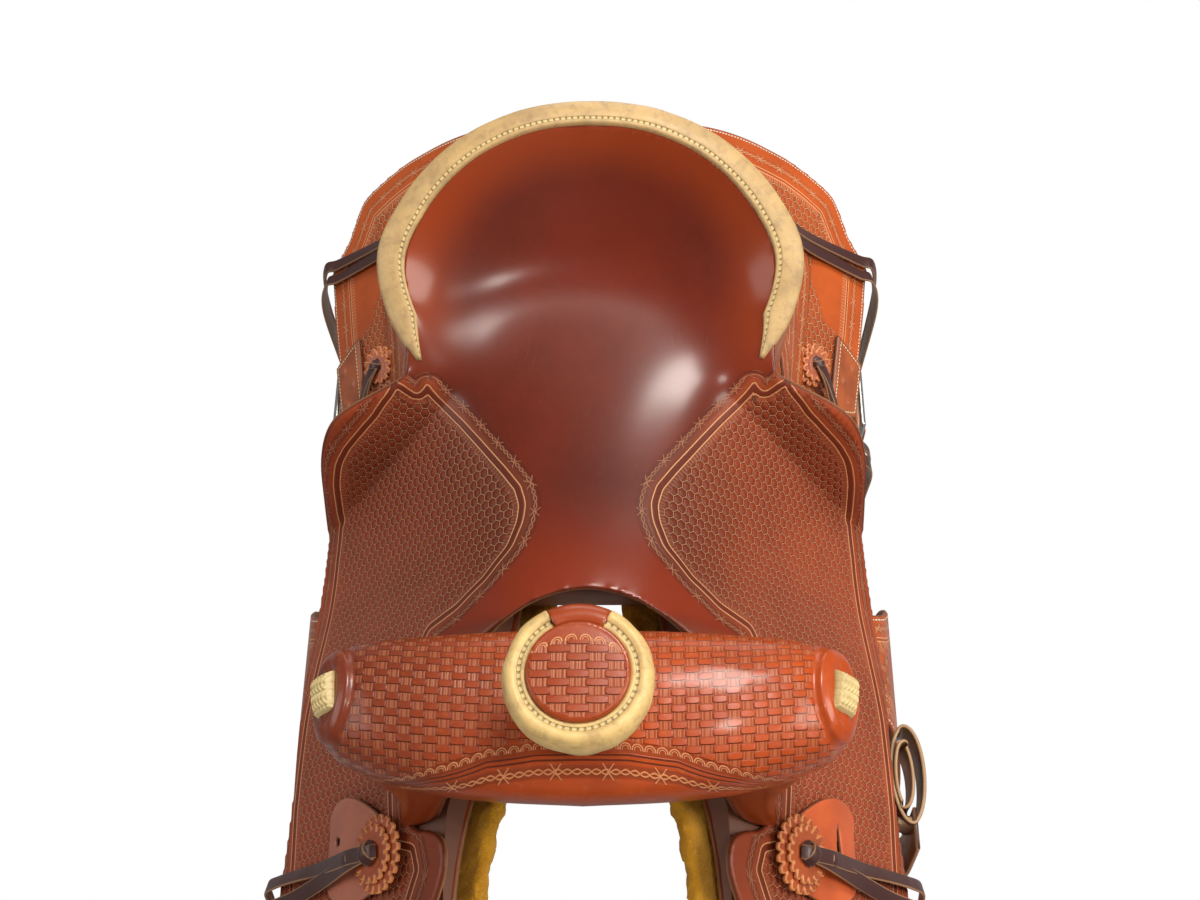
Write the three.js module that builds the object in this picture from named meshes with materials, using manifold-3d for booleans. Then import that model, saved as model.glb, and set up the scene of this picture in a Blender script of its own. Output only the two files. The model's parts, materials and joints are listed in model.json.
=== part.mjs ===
// Western ranch saddle on a swell-fork tree, in millimetres, +Z up.
// The saddle faces -Y, its cantle is towards +Y, and the near (left) side is +X.
// The origin is on the centre plane, on the flat ceiling of the channel under the ground seat.
import * as THREE from 'three';
import { mergeVertices } from 'three/addons/utils/BufferGeometryUtils.js';
import Module from 'manifold-3d';

const wasm = await Module();
wasm.setup();

// ---- driving dimensions ----
const SIDE_LENGTH = 420;       // length of the side curve, from the channel edge down
const FLEECE_THICK = 13;
const SKIRT_THICK = 5.5;
const SEAT_THICK = 5;
const ROLL_WIDTH = 25;         // width of the cantle roll
const RIM_Y = 135;             // centre of the cantle rim in plan
const HORN_Y = -206;           // horn axis
const HORN_TOP = 186;          // top of the horn cap
const HORN_RADIUS = 48;        // over the rim wrap
const FORK_HALF = 184;         // half width over the swells
const FENDER_Y = -50;          // centre of the stirrup leather
const BOLT_Z = -505;           // stirrup bolt
const BOLT_RADIUS = 5;
const STIRRUP_X = 262;
const FRONT_DEE = { y: -205, s: 313, width: 62, drop: 52, rod: 3.2 };
const FLANK_DEE = { y: 218, s: 281, width: 54, drop: 34, rod: 3 };

// ---- small maths ----
const rad = THREE.MathUtils.degToRad;
const clamp = THREE.MathUtils.clamp;
const vec = (x, y, z) => new THREE.Vector3(x, y, z);
const OUT_X = vec(1, 0, 0);
// The item of a list at a fraction from 0 to 1 along it.
const pick = (list, fraction) => list[Math.round(fraction * (list.length - 1))];

// Clamps x to a table of [x, value] rows and finds the row that starts its interval.
function locate(table, x0) {
  const last = table.length - 1, x = clamp(x0, table[0][0], table[last][0]);
  let i = 0;
  while (i < last - 1 && x > table[i + 1][0]) i++;
  return [x, i];
}

// Smooth interpolation through [x, value] rows.
function smooth(table) {
  const step = (i) => table[i + 1][0] - table[i][0];
  const slope = (i) => (table[i + 1][1] - table[i][1]) / step(i);
  const last = table.length - 1;
  const tangents = table.map((_, i) => {
    if (i === 0) return slope(0);
    if (i === last) return slope(last - 1);
    const before = step(i - 1), after = step(i);
    return (slope(i - 1) * after + slope(i) * before) / (before + after);
  });
  return (x0) => {
    const [x, i] = locate(table, x0);
    const h = step(i), t = (x - table[i][0]) / h, t2 = t * t, t3 = t2 * t;
    return (2 * t3 - 3 * t2 + 1) * table[i][1] + (t3 - 2 * t2 + t) * h * tangents[i]
      + (-2 * t3 + 3 * t2) * table[i + 1][1] + (t3 - t2) * h * tangents[i + 1];
  };
}

// Straight interpolation through [x, value] rows.
function straight(table) {
  return (x0) => {
    const [x, i] = locate(table, x0), [xa, a] = table[i], [xb, b] = table[i + 1];
    return a + ((b - a) * (x - xa)) / (xb - xa);
  };
}

// Halves the interval, keeping its low end where isBelow holds, and returns the low end.
function bisect(low, high, steps, isBelow) {
  for (let i = 0; i < steps; i++) {
    const middle = (low + high) / 2;
    if (isBelow(middle)) low = middle;
    else high = middle;
  }
  return low;
}

// ---- solids ----
function strip(geometry) {
  const bare = geometry.clone();
  bare.deleteAttribute('normal');
  bare.deleteAttribute('uv');
  return mergeVertices(bare, 1e-4);
}

function toSolid(geometry) {
  const bare = strip(geometry);
  return new wasm.Manifold(new wasm.Mesh({
    numProp: 3,
    vertProperties: bare.attributes.position.array,
    triVerts: new Uint32Array(bare.index.array),
  }));
}

function toGeometry(solid) {
  const mesh = solid.getMesh(), stride = mesh.numProp;
  const points = new Float32Array(mesh.numVert * 3);
  for (let i = 0; i < mesh.numVert; i++) {
    points.set(mesh.vertProperties.subarray(i * stride, i * stride + 3), i * 3);
  }
  return new THREE.BufferGeometry()
    .setAttribute('position', new THREE.BufferAttribute(points, 3))
    .setIndex(new THREE.BufferAttribute(new Uint32Array(mesh.triVerts), 1));
}

// Turns the faces over if the geometry came out inside out.
function outward(geometry) {
  const bare = strip(geometry), points = bare.attributes.position, index = bare.index.array;
  const a = vec(), b = vec(), c = vec();
  let volume = 0;
  for (let i = 0; i < index.length; i += 3) {
    a.fromBufferAttribute(points, index[i]);
    b.fromBufferAttribute(points, index[i + 1]);
    c.fromBufferAttribute(points, index[i + 2]);
    volume += a.dot(b.clone().cross(c));
  }
  if (volume < 0) {
    for (let i = 0; i < index.length; i += 3) {
      [index[i + 1], index[i + 2]] = [index[i + 2], index[i + 1]];
    }
  }
  return bare;
}

function warp(geometry, fn) {
  const bare = strip(geometry), points = bare.attributes.position;
  for (let i = 0; i < points.count; i++) {
    points.setXYZ(i, ...fn(points.getX(i), points.getY(i), points.getZ(i)));
  }
  return outward(bare);
}

// A sheet: fn(u, v, w) with u, v, w from 0 to 1, and w through its thickness.
const sheet = (nu, nv, fn) => warp(
  new THREE.BoxGeometry(1, 1, 1, nu, nv, 1),
  (x, y, z) => fn(x + 0.5, y + 0.5, z + 0.5),
);
// A sheet whose u and v step through two lists of stations.
const stationSheet = (us, vs, fn) => sheet(
  us.length - 1, vs.length - 1, (u, v, w) => fn(pick(us, u), pick(vs, v), w),
);
// A closed tube: fn(angle, r, h) with r 1 on the wall, 0 at the middle of an end, h from 0 to 1.
const tube = (around, along, fn) => warp(
  new THREE.CylinderGeometry(1, 1, 1, around, along),
  (x, y, z) => fn(Math.atan2(z, x), Math.min(1, Math.hypot(x, z)), y + 0.5),
);
const box = (x0, x1, y0, y1, z0, z1) => new THREE.BoxGeometry(x1 - x0, y1 - y0, z1 - z0)
  .translate((x0 + x1) / 2, (y0 + y1) / 2, (z0 + z1) / 2);
// Cylinders along y and z.
const rodY = (radius, length, sides) => new THREE.CylinderGeometry(radius, radius, length, sides);
const rodZ = (radius, length, sides) => rodY(radius, length, sides).rotateX(Math.PI / 2);

const join = (...parts) => outward(toGeometry(parts.map(toSolid).reduce((a, b) => a.add(b))));
const overlap = (a, b) => outward(toGeometry(toSolid(a).intersect(toSolid(b))));
const largest = (solid) => solid.decompose().sort((a, b) => b.volume() - a.volume())[0];
// Subtracts the tools and keeps the largest piece left.
const cut = (geometry, ...tools) => outward(toGeometry(largest(
  tools.map(toSolid).reduce((a, b) => a.subtract(b), toSolid(geometry)),
)));
const shifted = (geometry, e) => [
  [0, 0, 0], [e, 0, 0], [-e, 0, 0], [0, e, 0], [0, -e, 0], [0, 0, e], [0, 0, -e],
].map((offset) => geometry.clone().translate(...offset));
// Cuts a geometry back so it clears each of the others by a gap.
const clear = (geometry, gap, ...others) =>
  cut(geometry, ...others.flatMap((other) => shifted(strip(other), gap)));
const clearZ = (geometry, gap, ...others) => cut(
  geometry,
  ...others.flatMap((other) => [0, gap, -gap].map((dz) => strip(other).translate(0, 0, dz))),
);
const mirror = (geometry) =>
  outward(geometry.clone().applyMatrix4(new THREE.Matrix4().makeScale(-1, 1, 1)));
const bothSides = (geometry) => [geometry, mirror(geometry)];

// ---- outlines and placing ----
const toPoints = (pairs) => pairs.map(([x, y]) => new THREE.Vector2(x, y));
const polygon = (pairs) => new THREE.Shape(toPoints(pairs));
// A shape from a start point, then [x, y] for a line or six numbers for a Bezier curve.
function trace(start, ...steps) {
  const shape = new THREE.Shape();
  shape.moveTo(...start);
  for (const step of steps) {
    if (step.length === 2) shape.lineTo(...step);
    else shape.bezierCurveTo(...step);
  }
  return shape;
}
// Points round an oval; a negative halfY runs them clockwise.
const ovalPoints = (cx, cy, halfX, halfY, count) => Array.from({ length: count }, (_, i) => {
  const angle = (i / count) * 2 * Math.PI;
  return [cx + halfX * Math.cos(angle), cy + halfY * Math.sin(angle)];
});
const extrude = (shape, depth, curveSegments) =>
  new THREE.ExtrudeGeometry(shape, { depth, bevelEnabled: false, curveSegments });
// A section in the x-z plane, swept along y from y0 to y1.
const sweepY = (shape, y0, y1) => outward(extrude(shape, y1 - y0, 10).applyMatrix4(
  new THREE.Matrix4().set(1, 0, 0, 0, 0, 0, 1, y0, 0, 1, 0, 0, 0, 0, 0, 1),
));

// A strap along [centre point, normal] rows; endScale narrows its last row.
function strap(rows, width, thick, endScale = 0.6) {
  const last = rows.length - 1;
  return sheet(1, last, (u, v, w) => {
    const i = Math.round(v * last), [point, normal] = rows[i];
    const tangent = rows[Math.min(i + 1, last)][0].clone()
      .sub(rows[Math.max(i - 1, 0)][0]).normalize();
    const across = tangent.clone().cross(normal.clone().normalize()).normalize();
    const up = across.clone().cross(tangent).normalize();
    const rowWidth = width * (i === last ? endScale : 1);
    return point.clone()
      .addScaledVector(across, (u - 0.5) * rowWidth)
      .addScaledVector(up, (w - 0.5) * thick);
  });
}

// Puts a geometry at a point, its +Z along the normal and its +X as near as possible to along.
function place(geometry, point, normal, along = OUT_X) {
  const z = normal.clone().normalize();
  const x = along.clone().addScaledVector(z, -along.dot(z)).normalize();
  const frame = new THREE.Matrix4().makeBasis(x, z.clone().cross(x), z).setPosition(point);
  return outward(geometry.clone().applyMatrix4(frame));
}

// ---- materials and nodes ----
const root = new THREE.Group();
const finish = ({ color, roughness, metalness = 0 }) =>
  new THREE.MeshStandardMaterial({ color, roughness, metalness });
const MAT = {
  russet: finish({ color: '#9c4a24', roughness: 0.42 }),
  seat: finish({ color: '#6e2a18', roughness: 0.28 }),
  tan: finish({ color: '#a9643a', roughness: 0.5 }),
  natural: finish({ color: '#b9814c', roughness: 0.6 }),
  rawhide: finish({ color: '#cbb886', roughness: 0.55 }),
  latigo: finish({ color: '#4a2a22', roughness: 0.55 }),
  fleece: finish({ color: '#c8952e', roughness: 0.95 }),
  wood: finish({ color: '#c8ad83', roughness: 0.8 }),
  steel: finish({ color: '#b9bcc0', roughness: 0.3, metalness: 1 }),
};

function node(name, geometry, material) {
  const mesh = new THREE.Mesh(outward(geometry), material);
  mesh.name = name;
  root.add(mesh);
  return mesh.geometry;
}

// Takes the left-hand piece and adds its mirror image too.
function pair(name, geometry, material) {
  node(name + '_left', geometry, material);
  node(name + '_right', mirror(geometry), material);
}

// ---- side curve: underside of the fleece, by y and distance s down the side ----
// Tables of [y, value]: slope in degrees at the top and bottom, then x and z of the top.
const slopeTop = smooth([[-340, 52], [-200, 48], [0, 44], [150, 39], [300, 33], [400, 31]]);
const slopeBottom = smooth([[-340, 70], [0, 66], [200, 61], [400, 54]]);
const sideTopX = smooth([
  [-340, 80], [-250, 72], [-150, 48], [-50, 34], [100, 32], [300, 38], [400, 44],
]);
const sideTopZ = smooth([
  [-340, -52], [-250, -42], [-120, -36], [0, -35], [110, -38], [250, -34], [400, -26],
]);
// The point a height above the curve, square to it.
function side(y, s, height) {
  const start = rad(slopeTop(y)), bend = (rad(slopeBottom(y)) - start) / SIDE_LENGTH;
  const slope = start + bend * s;
  return vec(
    sideTopX(y) + (Math.sin(slope) - Math.sin(start)) / bend + height * Math.sin(slope),
    y,
    sideTopZ(y) + (Math.cos(slope) - Math.cos(start)) / bend + height * Math.cos(slope),
  );
}

const SKIRT_UNDER = FLEECE_THICK + 1.9;
const SKIRT_TOP = SKIRT_UNDER + SKIRT_THICK;
const BAR_UNDER = SKIRT_TOP + 1.4;
// Bar thickness by [s, thickness] and its scale by [y, scale].
const barThickS = straight([
  [4, 18], [24, 24], [42, 25], [90, 25], [138, 15], [165, 4.5], [200, 0],
]);
const barScaleY = straight([
  [-345, 0], [-300, 0.3], [-250, 0.8], [-190, 1], [200, 1], [270, 0.8], [318, 0.3], [360, 0],
]);
// Each bar is hollowed where the stirrup leather hangs over it.
const grooveLimit = (y, s) => (y > -152 && y < 52 && s > 95 ? 5 : 99);
const barThick = (y, s) =>
  Math.min(barThickS(Math.max(s, 4)) * barScaleY(y), grooveLimit(y, s));
const barTop = (y, s) => BAR_UNDER + barThick(y, s);

// Distance down the side at which a layer, height(y, s), lies at x.
const sAtX = (x, y, height) =>
  bisect(-30, 415, 40, (s) => side(y, s, height(y, s)).x < x);
function barTopZ(x, y) {
  const s = sAtX(x, y, barTop);
  return side(y, s, barTop(y, s)).z;
}

// A point on or off the outside of the skirt, its normal, and a point off the bar.
const onSkirt = (y, s, offset) => side(y, s, SKIRT_TOP + offset);
function skirtNormal(y, s) {
  const down = onSkirt(y, s + 2, 0).sub(onSkirt(y, s - 2, 0));
  const back = onSkirt(y + 2, s, 0).sub(onSkirt(y - 2, s, 0));
  const normal = back.cross(down).normalize();
  return normal.x < 0 ? normal.negate() : normal;
}
const overBar = (y, s, offset) => side(y, s, barTop(y, s) + offset);

// ---- seat surface: height of the leather over plan position ----
// [y, height on the centre line] and [y, half width where the sides fall away].
const seatCrestZ = smooth([
  [-340, 34], [-250, 44], [-180, 54], [-92, 52], [-40, 42],
  [20, 31], [80, 24], [130, 22], [200, 24], [280, 30],
]);
const seatHalf = smooth([
  [-340, 52], [-250, 56], [-100, 60], [-20, 60], [60, 88], [110, 118], [150, 140], [300, 150],
]);
// Cantle rim about its centre by [degrees from +Y, value]: radius, height, width of the dish.
const rimRadius = smooth([
  [0, 161], [21.4, 164.3], [42.2, 171.3], [59, 177],
  [73, 177.8], [84.7, 163.7], [99.5, 139], [115, 118],
]);
const rimZ = smooth([
  [0, 124], [21.4, 121], [42.2, 108], [59, 88], [73, 68], [84.7, 46], [99.5, 28], [115, 20],
]);
const dishWidth = smooth([[0, 88], [60, 78], [85, 58], [100, 38], [115, 25]]);
const DISH_POWER = 2.3;
const SIDE_BLEND = 16;         // width of the bend from the seat into its sides
const SIDE_FALL = 1.11;        // slope of the sides

function rimPoint(degrees, radius, z) {
  return vec(radius * Math.sin(rad(degrees)), RIM_Y + radius * Math.cos(rad(degrees)), z);
}
function seatZ(x, y) {
  const u = (Math.abs(x) - seatHalf(y)) / SIDE_BLEND;
  const z = seatCrestZ(y) - SIDE_BLEND * SIDE_FALL * (u > 30 ? u : Math.log1p(Math.exp(u)));
  const degrees = THREE.MathUtils.radToDeg(Math.atan2(Math.abs(x), y - RIM_Y));
  if (degrees >= 115) return z;
  const radius = Math.hypot(x, y - RIM_Y);
  const inward = (rimRadius(degrees) - ROLL_WIDTH - radius) / dishWidth(degrees);
  const rise = Math.max(rimZ(degrees) - 1 - z, 0);
  const fade = clamp((113 - degrees) / 10, 0, 1);
  return z + fade * rise * Math.pow(1 - clamp(inward, 0, 1), DISH_POWER);
}
function seatNormal(x, y) {
  const e = 1.5;
  return vec(
    -(seatZ(x + e, y) - seatZ(x - e, y)) / (2 * e),
    -(seatZ(x, y + e) - seatZ(x, y - e)) / (2 * e),
    1,
  ).normalize();
}
const onSeat = (x, y, offset) =>
  vec(x, y, seatZ(x, y)).addScaledVector(seatNormal(x, y), offset);

// ---- tree bars ----
const BAR_S = [4, 24, 42, 66, 90, 104, 120, 142, 165];
const BAR_Y = [-300, -270, -235, -190, -156, -148, -50, 48, 56, 130, 190, 240, 285, 318];
const bar = stationSheet(BAR_S, BAR_Y, (s, y, w) => side(y, s, BAR_UNDER + w * barThick(y, s)));
pair('tree_bar', bar, MAT.wood);

// ---- fork ----
// Fork section by [distance from the centre plane, value].
const forkHalfDepth = smooth([
  [0, 50], [60, 49], [110, 46], [150, 41], [170, 34], [180, 22], [FORK_HALF, 8],
]);
const forkHalfHeight = smooth([
  [0, 29], [60, 31], [110, 35], [150, 34], [170, 28], [180, 18], [FORK_HALF, 6],
]);
const forkY = smooth([[0, -198], [100, -194], [FORK_HALF, -182]]);
const forkZ = smooth([[0, 78], [60, 77], [110, 70], [150, 62], [FORK_HALF, 56]]);
const FORK_X = [
  -FORK_HALF, -180, -170, -150, -118, -80, -40, 0, 40, 80, 118, 150, 170, 180, FORK_HALF,
];
const FORK_POWER = 2.4;        // squareness of the section; 2 is an ellipse
const WOOD_GROW = -4.6;        // wood surface, measured from the outside of the leather

function forkCentre(x, grow) {
  const reach = Math.abs(x), end = reach > FORK_HALF - 0.1 ? Math.sign(x) * grow : 0;
  return vec(x + end, forkY(reach), forkZ(reach));
}
function forkPoint(x, angle, grow) {
  const reach = Math.abs(x);
  const squared = (c) => Math.sign(c) * Math.pow(Math.abs(c), 2 / FORK_POWER);
  const point = forkCentre(x, grow);
  point.y += (forkHalfDepth(reach) + grow) * squared(Math.cos(angle));
  point.z += (forkHalfHeight(reach) + grow) * squared(Math.sin(angle));
  return point;
}
const forkLoft = (grow, around) => tube(around, FORK_X.length - 1, (angle, r, h) => {
  const x = pick(FORK_X, h);
  return forkCentre(x, grow).lerp(forkPoint(x, angle, grow), r);
});
// A leg from the bar up into the fork, on both sides.
const LEG_Y = [-238, -190, -148];
const forkLegs = (grow, gap) => bothSides(stationSheet([-1, 0, 1], [-1, 0, 1], (i, j, w) => {
  if (w < 0.5) return overBar(LEG_Y[j + 1] + j * grow, 32 + i * (22 + grow), gap);
  return vec(104 + i * (20 + grow), forkY(100) + j * (38 + grow), 62);
}));
const hornBore = (radius, length, z) => rodZ(radius, length, 20).translate(0, HORN_Y, z);

const forkWood = clear(
  join(forkLoft(WOOD_GROW, 14), ...forkLegs(0, 0.2)), 0.35, ...bothSides(bar),
);
const treeFork = node('tree_fork', cut(forkWood, hornBore(20.6, 60, 112)), MAT.wood);

// ---- horn: [radius, z] profiles turned about its axis ----
const hornLathe = (profile) => outward(new THREE.LatheGeometry(toPoints(profile), 20)
  .rotateX(Math.PI / 2)
  .translate(0, HORN_Y, 0));
node('horn_core', hornLathe([
  [0, 84], [20, 84], [20, 112], [18, 128], [18, 152], [26, 160], [38, 164], [38, 176], [0, 176],
]), MAT.steel);
node('horn_wrap', hornLathe([
  [33, 181.5], [38.6, 176.6], [38.6, 163.4], [26.2, 159.2], [18.7, 152.4], [18.7, 127.8],
  [21, 109.5], [31, 110.5], [24, 127], [24, 146], [30, 153], [42, 155.5],
  [47, 161], [HORN_RADIUS, 169], [46, 178], [41, 183.5], [33, 181.5],
]), MAT.rawhide);
node('horn_cap_cover', hornLathe([
  [0, 176.6], [32.6, 176.6], [32.6, HORN_TOP - 3], [30, HORN_TOP], [0, HORN_TOP],
]), MAT.russet);

// ---- fork cover: leather over the swells and down the legs, open underneath ----
function makeForkCover() {
  const outside = join(forkLoft(0, 18), ...forkLegs(4.2, 1.2));
  const inside = join(forkLoft(WOOD_GROW + 0.7, 14), ...forkLegs(0.6, 0));
  const gullet = box(-72, 72, -235, -160, 20, 60);
  // Trims the foot of each leg clear of the bar.
  const footTrim = sheet(2, 2, (u, v, w) => {
    const s = -10 + u * 110, y = -260 + v * 130;
    return side(y, s, w < 0.5 ? -10 : barTop(y, s) + 2.1);
  });
  return cut(outside, inside, gullet, hornBore(21.2, 100, 125), ...bothSides(footTrim));
}
const forkCover = node('fork_cover', makeForkCover(), MAT.russet);

// Rawhide lace that closes each end of the fork cover.
function makeSwellLace() {
  const normal = vec(0.72, -0.12, 0.68).normalize();
  const point = forkPoint(176, rad(104), 0).addScaledVector(normal, 1.2);
  const patch = place(new THREE.BoxGeometry(26, 32, 9, 4, 4, 1), point, normal, vec(0, 0, -1));
  return clear(patch, 0.4, forkCover, treeFork);
}
pair('swell_lace', makeSwellLace(), MAT.rawhide);

// ---- cantle ----
const CANTLE_DEGREES = [-96, -84, -70, -55, -38, -20, 0, 20, 38, 55, 70, 84, 96];
const BOARD_MAX = 30;          // greatest thickness of the board
const BOARD_MIN = 8;

// Radius at which the dish of the seat reaches height z.
function dishRadius(degrees, z) {
  const outer = rimRadius(degrees) - ROLL_WIDTH, width = dishWidth(degrees);
  if (z >= rimZ(degrees) - 1) return outer;
  const radius = bisect(outer - width, outer, 30, (r) => {
    const { x, y } = rimPoint(degrees, r, 0);
    return seatZ(x, y) < z;
  });
  return Math.max(radius, outer - width * 0.62);
}
// Radius of the board's back face, at a fraction of its height.
const boardBack = (degrees, fraction) => rimRadius(degrees) - 8 - 9 * (1 - fraction);
function boardBottom(degrees, radius) {
  const { x, y } = rimPoint(degrees, radius, 0);
  return x < 46 ? 3 : Math.min(3, barTopZ(x, y) + 1.6);
}

const board = sheet(CANTLE_DEGREES.length - 1, 4, (u, v, w) => {
  const degrees = pick(CANTLE_DEGREES, u), turn = Math.abs(degrees), isFront = w < 0.5;
  const back = boardBack(turn, v);
  const bottom = boardBottom(turn, isFront ? back - BOARD_MAX : back);
  const z = bottom + (rimZ(turn) - 9.5 - bottom) * v;
  if (!isFront) return rimPoint(degrees, back, z);
  const front = Math.max(back - BOARD_MAX, dishRadius(turn, z + 7) + 7.5);
  return rimPoint(degrees, Math.min(back - BOARD_MIN, front), z);
});
const treeCantle = node('tree_cantle', clear(board, 0.35, ...bothSides(bar)), MAT.wood);

node('cantle_back_cover', sheet(CANTLE_DEGREES.length - 1, 3, (u, v, w) => {
  const degrees = pick(CANTLE_DEGREES, u), turn = Math.abs(degrees);
  const foot = rimPoint(turn, boardBack(turn, 0) + 5, 0);
  const bottom = barTopZ(foot.x, foot.y) + 9;
  const z = bottom + (rimZ(turn) - 10 - bottom) * v;
  return rimPoint(degrees, boardBack(turn, v) + 1.7 + w * 4, z);
}), MAT.russet);

// Rolled binding along the rim. Its section is [outward from the inner edge, z above the rim].
const BINDING_DEGREES = [
  -99, -93, -86, -78, -68, -56, -42, -28, -14, 0, 14, 28, 42, 56, 68, 78, 86, 93, 99,
];
const BINDING_SECTION = [
  [0, -7.5], [0.5, -1], [6, 1.2], [13, 1], [20, -0.8],
  [24.4, -4], [24, -8], [20, -9], [12, -8.6], [4, -8.6],
];
const BINDING_MIDDLE = [12, -4];
function makeBinding() {
  const count = BINDING_SECTION.length, inset = 0.6;
  return tube(count, BINDING_DEGREES.length - 1, (angle, r, h) => {
    const degrees = pick(BINDING_DEGREES, h), turn = Math.abs(degrees);
    const i = (Math.round((angle / (2 * Math.PI)) * count) + count) % count;
    const narrow = turn > 86 ? 1 - (turn - 86) / 15.5 : 1;
    const flatten = turn > 90 ? 0.55 + 0.45 * narrow : 1;
    const [across, rise] = r < 0.5 ? BINDING_MIDDLE : BINDING_SECTION[i];
    const radius = rimRadius(turn) - inset - (ROLL_WIDTH - inset - across) * narrow;
    return rimPoint(degrees, radius, rimZ(turn) + rise * flatten);
  });
}
const binding = node('cantle_binding', clear(makeBinding(), 0.3, treeCantle), MAT.rawhide);

// ---- seat and jockeys ----
// [y, half width of the jockeys]
const jockeyHalf = smooth([
  [-335, 232], [-300, 252], [-253, 248], [-200, 242], [-100, 240], [0, 234],
  [50, 227], [64, 222], [78, 205], [90, 172], [98, 150], [104, 134],
]);
const SEAT_Y = [
  -335, -315, -285, -250, -200, -150, -110, -75, -48, -28, -12, 0, 12, 23, 34, 44,
  53, 61, 68, 75, 82, 90, 97, 104, 125, 160, 195, 222, 242, 255, 265, 270.5,
];
// Fractions of the half width.
const SEAT_ACROSS = [
  -1, -0.9, -0.8, -0.68, -0.56, -0.42, -0.22, 0, 0.22, 0.42, 0.56, 0.68, 0.8, 0.9, 1,
];
// Left half of the opening round the fork, as [x, y] in plan.
const FORK_OPENING = [
  [0, -92], [30, -98], [55, -110], [80, -128], [134, -140], [136, -200],
  [134, -244], [104, -252], [98, -275], [106, -300], [118, -322], [130, -345],
];

// Half width of the seat inside the cantle roll.
function insideRoll(y) {
  let half = 14;
  for (let degrees = 0; degrees <= 99.5; degrees += 0.5) {
    const point = rimPoint(degrees, rimRadius(degrees) - ROLL_WIDTH - 0.4, 0);
    if (point.y >= y) half = Math.max(half, point.x);
  }
  return half;
}
function seatEdge(y) {
  if (y > 104) return insideRoll(y);
  return y > 90 ? Math.max(jockeyHalf(y), insideRoll(y)) : jockeyHalf(y);
}
function makeSeat() {
  const leather = stationSheet(SEAT_ACROSS, SEAT_Y, (across, y, w) =>
    onSeat(across * seatEdge(y), y, -SEAT_THICK * (1 - w)));
  const rightHalf = FORK_OPENING.map(([x, y]) => [-x, y]).reverse().slice(0, -1);
  const outline = polygon([...rightHalf, ...FORK_OPENING, [130, -400], [-130, -400]]);
  const opening = extrude(outline, 600).translate(0, 0, -300);
  return clear(cut(leather, opening), 0.3, binding, forkCover, treeFork, treeCantle);
}
const seat = node('seat_and_jockeys', makeSeat(), MAT.seat);

// Ground seat: from the flat channel ceiling up to the seat leather.
const GROUND_X = [-104, -78, -52, -26, 0, 26, 52, 78, 104];
const GROUND_Y = [-86, -60, -20, 20, 60, 100, 140, 180, 205, 222];
const groundSeat = stationSheet(GROUND_X, GROUND_Y, (x, y, w) => {
  if (w > 0.5) return onSeat(x, y, -SEAT_THICK - 1.6);
  return vec(x, y, Math.abs(x) < 30 ? 0 : Math.min(0, barTopZ(Math.abs(x), y) + 2.4));
});
node(
  'ground_seat',
  clearZ(clear(groundSeat, 0.35, treeCantle), 0.5, seat, ...bothSides(bar)),
  MAT.natural,
);

// ---- skirts and fleece ----
// Edges by [y, s].
const skirtLower = straight([
  [-345, 236], [-341, 258], [-330, 276], [-305, 292], [-260, 301], [-100, 306], [60, 296],
  [200, 273], [345, 269], [364, 241], [382, 226], [397, 212], [406, 180], [411, 150],
]);
const skirtUpper = straight([[-345, 10], [-300, 6], [285, 2], [318, -6], [411, -22]]);
const fleeceUpper = straight([
  [-340, -8], [-120, -22], [60, -14], [300, -14], [340, -26], [407, -30],
]);
const SKIRT_Y = [
  -345, -341, -330, -305, -260, -190, -110, -30, 60, 140,
  200, 270, 318, 345, 364, 382, 397, 406, 411,
];
const SKIRT_DOWN = [0, 0.18, 0.38, 0.58, 0.79, 1];  // fractions from upper to lower edge
const ABOVE_SKIRT = -1;        // marks the row along the fleece's own upper edge

// The hind edge runs a little forward towards the middle.
const hindY = (y, s) =>
  (y > 318 ? y - ((y - 318) / 93) * 30 * Math.pow(1 - clamp(s / 120, 0, 1), 2) : y);

pair('skirt', stationSheet(SKIRT_Y, SKIRT_DOWN, (y, down, w) => {
  const upper = skirtUpper(y), s = upper + (skirtLower(y) - upper) * down;
  return side(hindY(y, s), s, SKIRT_UNDER + w * SKIRT_THICK);
}), MAT.tan);

pair('fleece', stationSheet(SKIRT_Y, [ABOVE_SKIRT, ...SKIRT_DOWN], (skirtY, down, w) => {
  const y = skirtY * 0.992 + 0.4, upper = skirtUpper(y);
  const s = down === ABOVE_SKIRT
    ? fleeceUpper(y)
    : upper + (skirtLower(y) - 3 - upper) * down;
  return side(hindY(y, s), s, w * FLEECE_THICK);
}), MAT.fleece);

// Rear jockeys behind the cantle.
pair('rear_jockey', sheet(7, 5, (u, v, w) => {
  const s = -14 + u * 176, x = side(270, s, 45).x;
  const front = RIM_Y + Math.sqrt(Math.max(0, 178 * 178 - x * x)) + 4;
  const back = 362 - 34 * Math.pow(u, 3);
  return overBar(front + (back - front) * v, s, 2.6 + w * 4);
}), MAT.russet);

// ---- rigging ----
// A plate on the skirt, narrowing downwards.
const rigPlate = ({ y, halfWidth, upper, lower }) => sheet(4, 3, (u, v, w) => onSkirt(
  y + (u - 0.5) * 2 * halfWidth * (1 - 0.35 * v), upper + (lower - upper) * v, 1.6 + w * 4,
));
const FRONT_PLATE = { y: FRONT_DEE.y, halfWidth: 62, upper: 196, lower: 301 };
const FLANK_PLATE = { y: FLANK_DEE.y, halfWidth: 40, upper: 228, lower: 269 };
pair('front_rigging_plate', rigPlate(FRONT_PLATE), MAT.russet);
pair('flank_rigging_plate', rigPlate(FLANK_PLATE), MAT.russet);

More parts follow.
